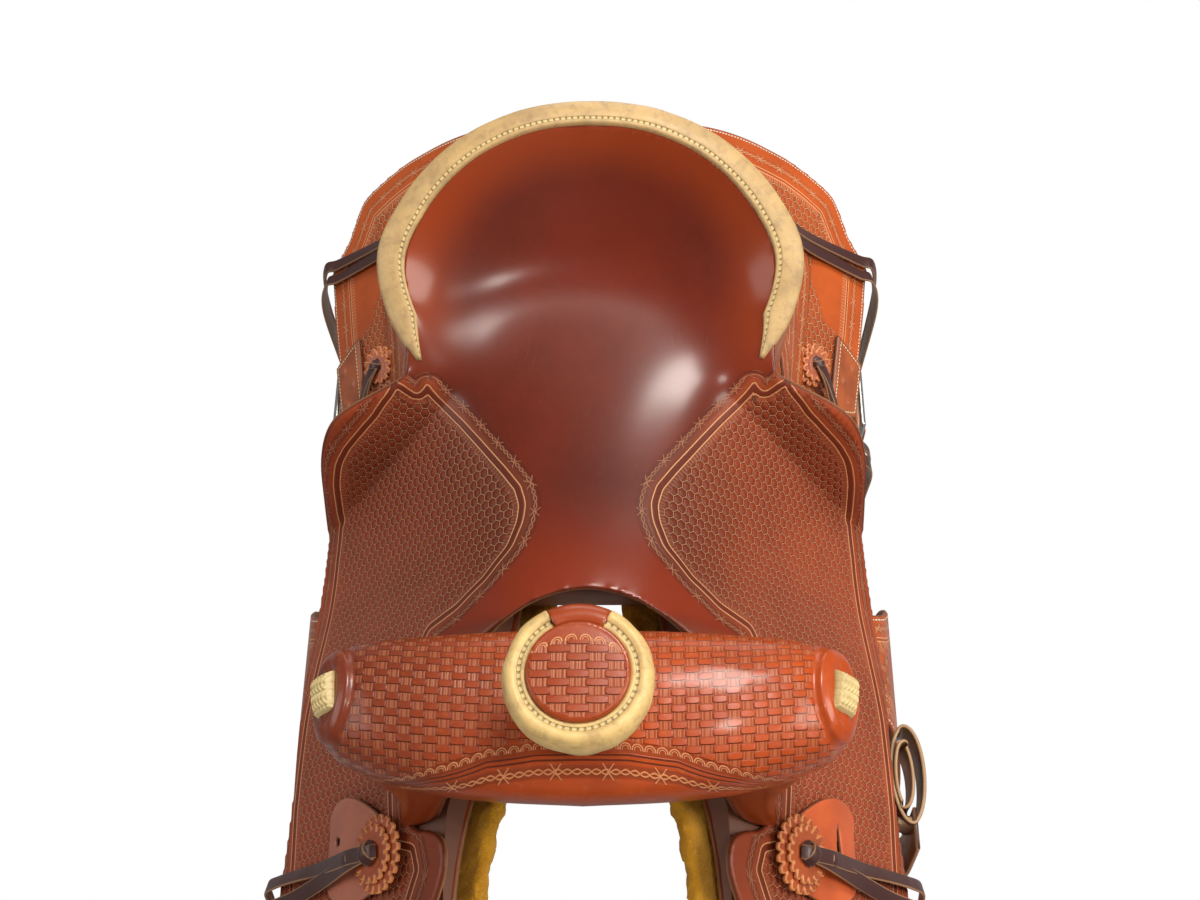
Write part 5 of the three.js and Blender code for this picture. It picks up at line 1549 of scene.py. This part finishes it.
def fleece_piece():
    low = low_edge * np.array([0.992, 1]) + np.array([0.4, -3])
    top = [(y * 0.992 + 0.4, float(fleece_high(y))) for y in np.arange(407, -346, -12.0)]
    outline = np.vstack([low, [(407, down) for down in BACK_DOWNS], top,
                         [(-342, down) for down in (30, 80, 130, 180)]])

    def tufts_below(a, b):
        q = np.stack([a, b, a * 0], -1)
        coarse, fine = noise_at(q + 500, 9.0) - 0.5, noise_at(q + 900, 4.0) - 0.5
        return coarse * 5.5 + fine * 3.0 - 0.6

    def tufts_above(u, v, edge):
        return -1.6 + (noise_at(np.stack([u, v, u * 0], -1) + 200, 5.0) - 0.5) * 2.0

    fleece = shell(rounded(outline, 1), on_flank_back, 0.0, 12.6, grid=3.2, edge_radius=5.0,
                   relief=tufts_above, under=tufts_below)
    ragged = np.stack([noise_at(fleece.verts + shift, 6.0) for shift in (40, 80, 120)], 1) - 0.5
    fade = np.exp(-fleece.pa[:, 2] / 3.0)
    fleece.verts = fleece.verts + (ragged * 3.2) * fade[:, None]
    return fleece


put_pair(skirt_piece(), "skirt_leather", "skirt", SKIRT)
put_pair(fleece_piece(), "sheepskin_wool", "fleece", WOOL)


# ---- rear jockeys ---------------------------------------------------------------------------
def rear_jockey():
    """A tongue behind the cantle and a wing along the skirt beside it."""
    down = np.linspace(-14, 162, 60)
    x = flank(270.0, down, 45)[..., 0]
    front = RIM_Y + np.sqrt(np.maximum(0, 178.0**2 - x * x)) + 4
    back = 362 - 34 * ((down + 14) / 176) ** 3
    outline = np.vstack([np.stack([front, down], 1), np.stack([back, down], 1)[::-1]])
    tongue = shell(rounded(resample(outline, 3.5)), lambda a, b, off: on_bar(a, b, 2.6 + off),
                   0.0, 4.0, grid=2.4, swap=True)

    def inner_down(y):
        x = math.sqrt(max(0.0, 166.0**2 - (y - RIM_Y) ** 2)) - 14.0
        return skirt_down_at(x, y, 5.0)

    outline = [(y, inner_down(float(y))) for y in np.arange(84, 296, 8.0)]
    outline += [(330, 110), (347, 140), (338, 168), (318, 178)]
    outline += [(y, 179.0 + 0.02 * (y - 60)) for y in np.arange(300, 52, -12.0)] + [(56, 160)]

    def on_either(a, b, off):
        return flank(a, b, np.maximum(bar_top(a, b), SKIRT_TOP + 1.4) + 0.6 + off)

    wing = shell(rounded(resample(outline, 4.0)), on_either, 0.0, 2.2, grid=2.2, edge_radius=1.0,
                 swap=True)
    both = tongue + wing
    both.pb[:, 1] = both.pa[:, 2] - 17
    return both


put_pair(rear_jockey(), "rear_jockey_leather", "rear_jockey", REAR_JOCKEY)

# ---- rigging plates, dees, latigos and billets ----------------------------------------------
FRONT_RIG_Y, FLANK_RIG_Y = -205, 218
FRONT_DEE_DROP, FLANK_DEE_DROP = 52, 34


def rigging_plate(y, half, top, bottom):
    """A plate narrowing downwards from half width half, with three domed rivets."""
    t = np.linspace(0, 1, 30)
    width = half * (1 - 0.35 * t)
    down = top + (bottom - top) * t
    outline = np.vstack([np.stack([y + width, down], 1), np.stack([y - width, down], 1)[::-1]])
    rivets = [(y - half * 0.42, bottom - 14), (y + half * 0.42, bottom - 14), (y, bottom - 26)]

    def domes(u, v, edge):
        total = np.zeros(len(u))
        for rivet_y, rivet_down in rivets:
            radius = np.hypot(v - rivet_y, u - rivet_down)
            total += 1.6 * np.sqrt(np.clip(1 - (radius / 5.2) ** 2, 0, 1))
        return total

    return shell(rounded(resample(outline, 5.0)), lambda a, b, off: on_skirt(a, b, 1.6 + off),
                 0.0, 4.0, grid=1.8, swap=True, relief=domes)


def dee(at, width, drop, radius):
    """A steel dee: a bow hanging from a straight bar."""
    # (share of the width, share of the drop)
    bow = [(-0.5, 0), (-0.5, 0.5), (-0.46, 0.86), (-0.36, 1), (0, 1), (0.36, 1), (0.46, 0.86),
           (0.5, 0.5), (0.5, 0)]
    bow = [(at[0], at[1] + a * width, at[2] - b * drop) for a, b in bow]
    end = width / 2 + radius * 0.8
    bar = [(at[0], at[1] + a, at[2]) for a in (-end, -width / 4, 0, width / 4, end)]
    return tube(bow, radius, 2.5, (1, 0, 0)) + tube(bar, radius, 3.0, (1, 0, 0))


def hung(x, y, top_z, inner_z, outer_z, gap, thick, width=37):
    """A strap looped over the bow of a dee, with its inner and outer ends hanging."""
    reach = gap + thick / 2
    rows = [(x - reach, y, z, -1, 0, 0) for z in np.linspace(inner_z, top_z, 12)[:-1]]
    for turn in np.linspace(pi, 0, 9):
        out, up = math.cos(turn), math.sin(turn)
        rows.append((x + reach * out, y, top_z + reach * up, out, 0, up))
    rows += [(x + reach, y, z, 1, 0, 0) for z in np.linspace(top_z, outer_z, 12)[1:]]
    rows = np.array(rows)
    return ribbon(rows[:, :3], rows[:, 3:], width, thick, 3.0, smooth=False)


def level_loop(x, y, z, half_x, half_y, thick, wobble, width=36):
    turn = np.arange(40) / 40 * 2 * pi
    points = xyz(x + half_x * np.cos(turn), y + half_y * np.sin(turn),
                 z + wobble * np.sin(2 * turn))
    normals = unit(xyz(np.cos(turn) / half_x, np.sin(turn) / half_y, 0))
    return ribbon(points, normals, width, thick, 3.0, closed=True)


front_at = on_skirt(float(FRONT_RIG_Y), 313.0, -1.0)
flank_at = on_skirt(float(FLANK_RIG_Y), 281.0, -1.0)
front_x, front_low = front_at[0], front_at[2] - FRONT_DEE_DROP


def front_hung(inner_z, outer_z):
    return hung(front_x, FRONT_RIG_Y, front_low + 0.6, inner_z, outer_z, gap=4.2, thick=3.4)


def latigo():
    """The strap over the near front dee, its tail running up, and the coil beside it."""
    tail = [(front_x + 6, -205, front_low - 6), (front_x + 7.4, -205, -312),
            (front_x + 9, -205, -262), (front_x + 8, -204.5, -222), (front_x + 6.4, -204, -184)]
    core = [(245.4, -166, -200), (245.3, -159, -200), (245.4, -152, -200)]
    bridge = [(x, -196.5, -200) for x in (247, 252, 258, front_x + 7.5)]
    return (front_hung(-372, -366)
            + ribbon(tail, (1, 0, 0), 35, 3.6, 4.0)
            + level_loop(258, -159, -200, 13.2, 40, thick=3.2, wobble=1.2)
            + level_loop(254.5, -160, -197, 6.9, 26.3, thick=3.0, wobble=-1.0)
            + ribbon(core, (1, 0, 0), 30, 3.4, 3.0)
            + ribbon(bridge, (0, 1, 0), 26, 9.0, 2.0))


put_pair(rigging_plate(FRONT_RIG_Y, 62, 196, 301), "front_rigging_leather",
         "front_rigging_plate", PLATE)
put_pair(rigging_plate(FLANK_RIG_Y, 40, 228, 269), "flank_rigging_leather",
         "flank_rigging_plate", PLATE)
put_pair(dee(front_at, 62, FRONT_DEE_DROP, 3.1), "front_dee_steel", "front_dee", STEEL)
put_pair(dee(flank_at, 54, FLANK_DEE_DROP, 2.9), "flank_dee_steel", "flank_dee", STEEL)
put(latigo(), "latigo_strap", "latigo_left", LATIGO)
put(front_hung(-440, -421).mirrored(), "off_billet_strap", "off_billet_right", LATIGO)
flank_billet = hung(flank_at[0], FLANK_RIG_Y, flank_at[2] - FLANK_DEE_DROP + 0.6, -470, -431,
                    gap=4.0, thick=3.8)
put_pair(flank_billet, "flank_billet_strap", "flank_billet", BILLET)

# ---- fenders and stirrups -------------------------------------------------------------------
STIRRUP_X, STIRRUP_Y, STIRRUP_Z = 262.0, -50.0, -505.0  # centre of the stirrup bolt

# (z, x) of the hanging line, from the flank down to the stirrup
hang = [(float(p[2]), float(p[0])) for p in (
    flank(STIRRUP_Y, float(s), 38 - (s - 118) * 0.08) for s in (118, 140, 165, 190, 215))]
hang += [(-238, 249), (-268, 258), (-300, STIRRUP_X), (-330, STIRRUP_X), (STIRRUP_Z, STIRRUP_X)]
hang.sort()
hang_top = hang[-1][0]
hang_zs = np.linspace(hang[0][0], hang_top, 400)
hang_kernel = np.hanning(25)
hang_kernel /= hang_kernel.sum()
hang_xs = np.interp(hang_zs, [z for z, x in hang], [x for z, x in hang])
hang_xs = np.convolve(np.pad(hang_xs, 12, mode="edge"), hang_kernel, mode="valid")


def hang_x(z):
    return np.interp(z, hang_zs, hang_xs)


def hang_normal(z):
    return unit(xyz(1.0, 0.0, -(hang_x(z + 3) - hang_x(z - 3)) / 6))


def on_hang(across, z, off):
    out = np.asarray(off, float)[..., None]
    return xyz(hang_x(z), STIRRUP_Y + across, z) + hang_normal(z) * out


fender_half = smooth_curve([
    (-440, 44), (-432, 70), (-410, 92), (-370, 99), (-320, 92), (-270, 70), (-225, 46),
    (-180, 38), (-120, 37)])


def fender_piece():
    z = np.linspace(-440, -122, 80)
    half = fender_half(z)
    outline = np.vstack([np.stack([half, z], 1), np.stack([-half, z], 1)[::-1]])
    fender = shell(rounded(resample(outline, 5.0)), lambda a, b, off: on_hang(a, b, 5 + off),
                   0.0, 4.0)
    fender.pb[:, 1] = fender.pa[:, 2] - 20
    return fender


def stirrup_strap():
    """A doubled strap from the top of the hanging line round the stirrup bolt."""
    down = np.linspace(hang_top, STIRRUP_Z + 12, 60)
    turn = np.linspace(0.35, -pi - 0.35, 15)
    out, up = np.cos(turn), np.sin(turn)
    points = np.vstack([
        on_hang(0, down, 1.75), xyz(STIRRUP_X + 8.4 * out, STIRRUP_Y, STIRRUP_Z + 8.4 * up),
        on_hang(0, down[::-1], -1.75)])
    normals = np.vstack([hang_normal(down), xyz(out, 0, up), -hang_normal(down[::-1])])
    return ribbon(points, normals, 60, 3.3, 4.0, smooth=False)


def hobble():
    """A level band round the doubled strap, just above the stirrup."""
    a, b, out_a, out_b = resample(round_box(4.1 + 1.3, 30.6 + 1.3, 2.5, 6), 2.0).T
    points = xyz(STIRRUP_X + a, STIRRUP_Y + b, STIRRUP_Z + 39)
    return ribbon(points, xyz(out_a, out_b, 0), 18, 2.5, 2.0, closed=True, smooth=False)


def stirrup_piece():
    """Bentwood between an outer and an inner line, in (y, z) from the bolt."""
    outer = np.vstack([
        bezier((43, 13), (46, -30), (78, -60), (78, -118), 34)[:-1],
        bezier((78, -118), (78, -136), (70, -148), (54, -148), 14)[:-1],
        np.stack([np.linspace(54, 0, 14), np.full(14, -148.0)], 1)])
    inner = np.vstack([
        np.stack([np.linspace(34, 33, 6), np.linspace(13, -8, 6)], 1)[:-1],
        bezier((33, -8), (38, -40), (68, -62), (68, -116), 29)[:-1],
        bezier((68, -116), (68, -130), (64, -138), (52, -138), 14)[:-1],
        np.stack([np.linspace(52, 0, 14), np.full(14, -138.0)], 1)])
    outer, inner = (np.vstack([half, (half * np.array([-1, 1]))[::-1][1:]])
                    for half in (outer, inner))
    rings = []
    for one, two in zip(outer, inner):
        mid, half = (one + two) / 2, (one - two) / 2
        size = np.linalg.norm(half)
        half_width = float(np.interp(mid[1], [-110, 0], [38, 17]))
        across, out = strap_section(2 * half_width, 2 * size, 5).T
        rings.append(xyz(STIRRUP_X + across, STIRRUP_Y + mid[0] + half[0] / size * out,
                         STIRRUP_Z + mid[1] + half[1] / size * out))
    return loft(rings)


def tread_piece():
    outline = rounded(resample([(-35, -50), (35, -50), (35, 50), (-35, 50)], 6.0))
    return shell(
        outline,
        lambda a, b, off: xyz(STIRRUP_X + a, STIRRUP_Y + b, STIRRUP_Z - 137.6 + off),
        0.0, 3.6, grid=1.8, edge_radius=1.2,
        relief=lambda u, v, edge: -0.5 * (np.abs(np.mod(v, 9) - 4.5) < 0.9) * (edge > 7))


put_pair(fender_piece(), "fender_leather", "fender", FENDER)
put_pair(stirrup_strap(), "stirrup_leather_strap", "stirrup_leather", STRAP)
put_pair(hobble(), "hobble_band", "hobble_strap", LATIGO)
put_pair(stirrup_piece(), "stirrup_bentwood", "stirrup", STIRRUP)
put_pair(tread_piece(), "stirrup_tread_leather", "stirrup_tread", TREAD)

# ---- rosettes -------------------------------------------------------------------------------
FRONT_X, FRONT_Y = 148.0, -257.0
front_normal = seat_normal(FRONT_X, FRONT_Y)
REAR_Y = 213.0
rear_down = skirt_down_at(193.0, REAR_Y, 0.0)
rear_at, rear_normal = on_skirt(REAR_Y, rear_down, 1.0), skirt_normal(REAR_Y, rear_down)
rear_tilt = rear_normal + np.array((-0.16, -0.2, 0.12))
rear_tilt = rear_tilt / np.linalg.norm(rear_tilt)
cantle_at, cantle_normal = on_bar(316.0, 108.0, 10.0), skirt_normal(316.0, 108.0)


def over_front(off):
    return on_seat(FRONT_X, FRONT_Y, off)


def rosette(at, normal, radius, petals, notch, thick, grid=0.8):
    """A scalloped disc with notches cut notch deep between its petals."""
    turn = np.linspace(0, 2 * pi, petals * 16, endpoint=False)
    edge = (radius - notch * np.abs(np.cos(petals * turn / 2)) ** 10
            - 0.8 * (1 - np.abs(np.sin(petals * turn / 2)) ** 0.8))
    outline = np.stack([edge * np.cos(turn), edge * np.sin(turn)], 1)
    origin, x, y, z = frame_at(at, normal)

    def relief(u, v, edge):
        out, turn = np.hypot(u, v), np.arctan2(v, u)
        cut = np.exp(-((np.abs(np.cos(petals * turn / 2)) - 1) / 0.02) ** 2)
        cut = cut * ease(radius - notch * 2.1, radius - notch * 1.2, out)
        ring = np.exp(-(((out - (radius - notch * 2.2)) / 0.9) ** 2))
        return -0.9 * cut - 0.5 * ease(radius - 7, radius, out) - 0.25 * ring

    def place(a, b, off):
        return origin + a[:, None] * x + b[:, None] * y + off[..., None] * z

    piece = shell(outline, place, 0.0, thick, grid=grid, edge_radius=0.8, relief=relief)
    piece.pc[:, 2] = 1
    return piece


put_pair(rosette(over_front(6.0), front_normal, 28.5, 20, 4.4, 3.6, grid=1.0),
         "front_rosette_leather", "front_rosette", ROSETTE)
put_pair(rosette(over_front(10.0), front_normal, 21.5, 16, 3.8, 3.6, grid=1.0),
         "front_rosette_upper", "front_rosette_top", ROSETTE)
rear_base = rear_at + rear_normal * 4.4
rear_rosette = (rosette(rear_base, rear_tilt, 20, 15, 3.8, 3.6)
                + rosette(rear_base + rear_tilt * 3.7, rear_tilt, 15.5, 12, 3.2, 3.4))
put_pair(rear_rosette, "rear_rosette_leather", "rear_rosette", ROSETTE)
put_pair(rosette(cantle_at, cantle_normal, 14, 12, 3.0, 5), "cantle_rosette_leather",
         "cantle_rosette", ROSETTE)

# ---- keepers --------------------------------------------------------------------------------
KEEPER_OUTLINE = np.vstack([
    bezier((-14, -14), (10, -34), (40, -44), (62, -34), 20)[:-1],
    bezier((62, -34), (82, -26), (92, -8), (88, 12), 20)[:-1],
    bezier((88, 12), (84, 34), (56, 46), (30, 38), 20)[:-1],
    bezier((30, 38), (10, 32), (-4, 24), (-14, 14), 14)[:-1],
    [(-14, 7), (-14, 0), (-14, -7)]])
hole_turn = np.linspace(0, 2 * pi, 40, endpoint=False)
slit = np.stack([52.5 + 2.4 * np.cos(hole_turn) * (1 - 0.3 * np.sin(hole_turn)),
                 1 + 20 * np.sin(hole_turn)], 1)
round_holes = [np.stack([a + 3.1 * np.cos(hole_turn), b + 3.1 * np.sin(hole_turn)], 1)
               for a, b in ((62, -7), (62, 8))]


def keeper(holes):
    origin, x, y, z = frame_at(over_front(2.2), front_normal, (1, 0.3, -1.1))

    def place(a, b, off):
        droop = -0.0035 * np.clip(a - 40, 0, None) ** 2 + 0.0016 * b * b
        return origin + a[:, None] * x + b[:, None] * y + (off + droop)[:, None] * z

    return shell(KEEPER_OUTLINE, place, 0.0, 3.0, grid=1.5, edge_radius=1.0, holes=holes)


put(keeper([slit]), "latigo_keeper_leather", "latigo_keeper_left", KEEPER)
put(keeper(round_holes).mirrored(), "rope_keeper_leather", "rope_keeper_right", ROPE_KEEPER)


# ---- tie strings ----------------------------------------------------------------------------
def knot(at, normal, along, width, size):
    """A slit-braid knot: two short loops of string crossed over a third."""
    origin, x, y, z = frame_at(at, normal, along)
    loops = []
    # (turn in degrees, half length, height, width)
    for turn, half, rise, wide in ((0, 9.5, 5.4, width), (62, 8.0, 7.4, width * 0.85),
                                   (-58, 8.5, 3.4, width * 0.85)):
        turn = math.radians(turn)
        ahead = x * math.cos(turn) + y * math.sin(turn)
        points, normals = [], []
        for q in np.linspace(-1, 1, 9):
            arch = rise * size * math.sqrt(max(0.0, 1 - q * q * 0.98)) - 3.2
            points.append(origin + ahead * (q * half * size) + z * arch)
            normals.append(z * math.sqrt(max(0.04, 1 - q * q)) + ahead * q)
        loops.append(ribbon(points, normals, wide * size, 2.5 * size, 1.2))
    return loops[0] + loops[1] + loops[2]


def string(points, normals, width, sway, phase=0.0):
    """A tie string that sways by a gentle twist along its length."""
    return ribbon(points, normals, width, 2.5, 3.0, tip=0.04,
                  twist=lambda f: sway * np.sin(2 * pi * f + phase) * np.sin(pi * f))


def front_tail(shift, end, sway, rise=0.0):
    # (x, share of the shift, height over the seat), then (x, z) where it hangs free
    lying = ((FRONT_X + 14, 0.2, 18 + rise), (FRONT_X + 30, 0.35, 14 + rise),
             (FRONT_X + 52, 0.6, 9.5), (222.0, 0.9, 8.0), (243.0, 1, 7.0))
    free = ((261, -184), (267, -236), (270.5, -290), (272, end))
    points = [over_front(17.0 + rise)]
    points += [on_seat(x, FRONT_Y + shift * part, off) for x, part, off in lying]
    points += [(x, FRONT_Y + shift, z) for x, z in free]
    normals = [front_normal] * 4 + [(0.75, 0, 0.65), (0.85, 0, 0.5), (1, 0, 0.2)]
    return string(points, normals + [(1, 0, 0)] * 3, 11.5, sway)


def rear_tail(shift, end, sway):
    x = float(on_skirt(REAR_Y, 273.0, 0.0)[0])
    # (share of the shift, down from the rosette, height over the skirt)
    lying = ((0.25, 12, 14.5), (0.5, 26, 12), (0.85, 48, 8))
    points = [rear_at + rear_normal * 13]
    points += [on_skirt(REAR_Y + shift * part, rear_down + down, off)
               for part, down, off in lying]
    points += [on_skirt(REAR_Y + shift, 262.0, 8), (x + 12, REAR_Y + shift, -240),
               (x + 11, REAR_Y + shift, -300), (x + 10, REAR_Y + shift, end)]
    normals = [rear_normal, (0.72, 0, 0.66), (0.75, 0, 0.6), (0.8, 0, 0.55), (0.9, 0, 0.4)]
    return string(points, normals + [(1, 0, 0)] * 3, 11.0, sway, phase=0.5)


def cantle_tail(shift, end, sway):
    x = float(on_skirt(340.0, 268.0, 0.0)[0])
    # (surface, y, share of the shift, down, height over it)
    lying = ((on_bar, 318, 0.3, 120, 17), (on_bar, 320, 0.5, 133, 16), (on_bar, 326, 0.7, 168, 8),
             (on_skirt, 333, 0.8, 206, 4.2), (on_skirt, 338, 1, 252, 4.4),
             (on_skirt, 339, 1, 268, 7))
    points = [cantle_at + cantle_normal * 8]
    points += [surface(y + shift * part, down, off) for surface, y, part, down, off in lying]
    points += [(x + 12, 338 + shift, -222), (x + 11, 334 + shift, -300), (x + 9, 330 + shift, end)]
    normals = [cantle_normal, (0.55, 0, 0.8), (0.6, 0, 0.75), (0.6, 0, 0.75), (0.7, 0, 0.7),
               (0.75, 0, 0.6), (0.9, 0, 0.4)]
    return string(points, normals + [(1, 0, 0)] * 3, 11.5, sway, phase=1.0)


front_strings = (
    front_tail(4, -418, 0.5, rise=1.0) + front_tail(-14, -398, -0.7)
    + knot(over_front(17.5), front_normal, (1, 0, -0.7), 10, 1.0)
    + knot(on_seat(FRONT_X + 17.0, FRONT_Y, 17.0), front_normal, (1, 0.4, -0.7), 9, 0.8))
put_pair(front_strings, "front_tie_strings", "front_string", STRING)
rear_strings = (
    rear_tail(-44, -428, 0.5) + rear_tail(-57, -408, -0.6)
    + knot(rear_at + rear_normal * 12.6, rear_tilt, (1, -1, -0.7), 8, 0.8)
    + knot(on_skirt(REAR_Y - 14.0, rear_down + 14, 12.5), rear_normal, (1, -1.6, -0.7), 7.5, 0.62))
put_pair(rear_strings, "rear_tie_strings", "rear_string", STRING)
cantle_strings = (
    cantle_tail(6, -428, 0.35) + cantle_tail(-8, -400, -0.4)
    + knot(cantle_at + cantle_normal * 7.6, cantle_normal, (1, 0, -0.7), 8, 0.75))
put_pair(cantle_strings, "cantle_tie_strings", "cantle_string", STRING)

# ---- stage, lights and camera (metres) ------------------------------------------------------
scene = bpy.context.scene
FLOOR_HALF, FLOOR_Z = 12.0, -0.9


def white_to_camera(tree, white_kind, lit, output):
    """Shows plain white to the camera and the lit shader to every other ray."""
    white = tree.nodes.new(white_kind)
    mix = tree.nodes.new("ShaderNodeMixShader")
    path = tree.nodes.new("ShaderNodeLightPath")
    white.inputs[0].default_value = (1, 1, 1, 1)
    tree.links.new(path.outputs["Is Camera Ray"], mix.inputs[0])
    tree.links.new(lit.outputs[0], mix.inputs[1])
    tree.links.new(white.outputs[0], mix.inputs[2])
    tree.links.new(mix.outputs[0], tree.nodes[output].inputs[0])


floor_material = bpy.data.materials.new("pale_floor")
floor_material.use_nodes = True
floor_bsdf = floor_material.node_tree.nodes["Principled BSDF"]
floor_bsdf.inputs["Base Color"].default_value = (0.34, 0.34, 0.35, 1)
floor_bsdf.inputs["Roughness"].default_value = 0.95
white_to_camera(floor_material.node_tree, "ShaderNodeEmission", floor_bsdf, "Material Output")
floor_mesh = bpy.data.meshes.new("floor")
floor_corners = [(a * FLOOR_HALF, b * FLOOR_HALF, FLOOR_Z)
                 for a, b in ((-1, -1), (1, -1), (1, 1), (-1, 1))]
floor_mesh.from_pydata(floor_corners, [], [(0, 1, 2, 3)])
floor_mesh.materials.append(floor_material)
floor = bpy.data.objects.new("floor", floor_mesh)
scene.collection.objects.link(floor)

world = bpy.data.worlds.new("studio")
scene.world = world
world.use_nodes = True
background = world.node_tree.nodes["Background"]
background.inputs["Color"].default_value = (1.0, 0.95, 0.9, 1)
background.inputs["Strength"].default_value = 0.24
white_to_camera(world.node_tree, "ShaderNodeBackground", background, "World Output")

# name, place, target, size, watts, colour, whether reflections show it
LIGHTS = (
    ("key", (0.62, 1.08, 2.3), (0.05, 0.05, 0.0), 0.75, 54, (1.0, 0.96, 0.9), True),
    ("top", (0.66, -0.42, 2.1), (0.05, -0.1, 0.0), 0.3, 9, (1.0, 0.95, 0.88), True),
    ("right", (2.2, -0.3, 1.5), (0.0, 0.0, -0.1), 1.2, 46, (1.0, 0.92, 0.82), True),
    ("front", (0.5, -2.6, 1.2), (0.0, -0.1, -0.1), 1.6, 26, (1.0, 0.93, 0.86), False),
    ("left", (-2.5, -0.2, 1.2), (0.0, 0.0, -0.2), 1.6, 25, (1.0, 0.94, 0.9), True),
    ("back", (0.2, 2.7, 0.3), (0.0, 0.2, -0.1), 1.4, 14, (1.0, 0.95, 0.9), True),
)
for name, place, target, size, watts, colour, glossy in LIGHTS:
    lamp = bpy.data.lights.new(name, "AREA")
    lamp.energy, lamp.color, lamp.size = watts, colour, size
    light = bpy.data.objects.new(name, lamp)
    light.location = place
    aim = Vector(target) - Vector(place)
    light.rotation_euler = aim.to_track_quat("-Z", "Y").to_euler()
    light.visible_glossy = glossy
    scene.collection.objects.link(light)

CAMERA_AT = (0.0362, -0.5483, 1.0978)
pitch, yaw, roll = (math.radians(angle) for angle in (61.56, -2.75, -2.71))
lens = bpy.data.cameras.new("camera")
lens.sensor_width = 36.0
lens.lens = 47.709
lens.clip_start, lens.clip_end = 0.05, 60.0
camera = bpy.data.objects.new("camera", lens)
scene.collection.objects.link(camera)
view = Vector((math.sin(yaw) * math.cos(pitch), math.cos(yaw) * math.cos(pitch),
               -math.sin(pitch)))
level = Vector((math.cos(yaw), -math.sin(yaw), 0))
upright = level.cross(view)
right = level * math.cos(roll) + upright * math.sin(roll)
up = upright * math.cos(roll) - level * math.sin(roll)
rotation = Matrix((right, up, -view)).transposed().to_4x4()
camera.matrix_world = Matrix.Translation(Vector(CAMERA_AT)) @ rotation
scene.camera = camera
scene.view_settings.view_transform = "Standard"

bpy.context.view_layer.update()
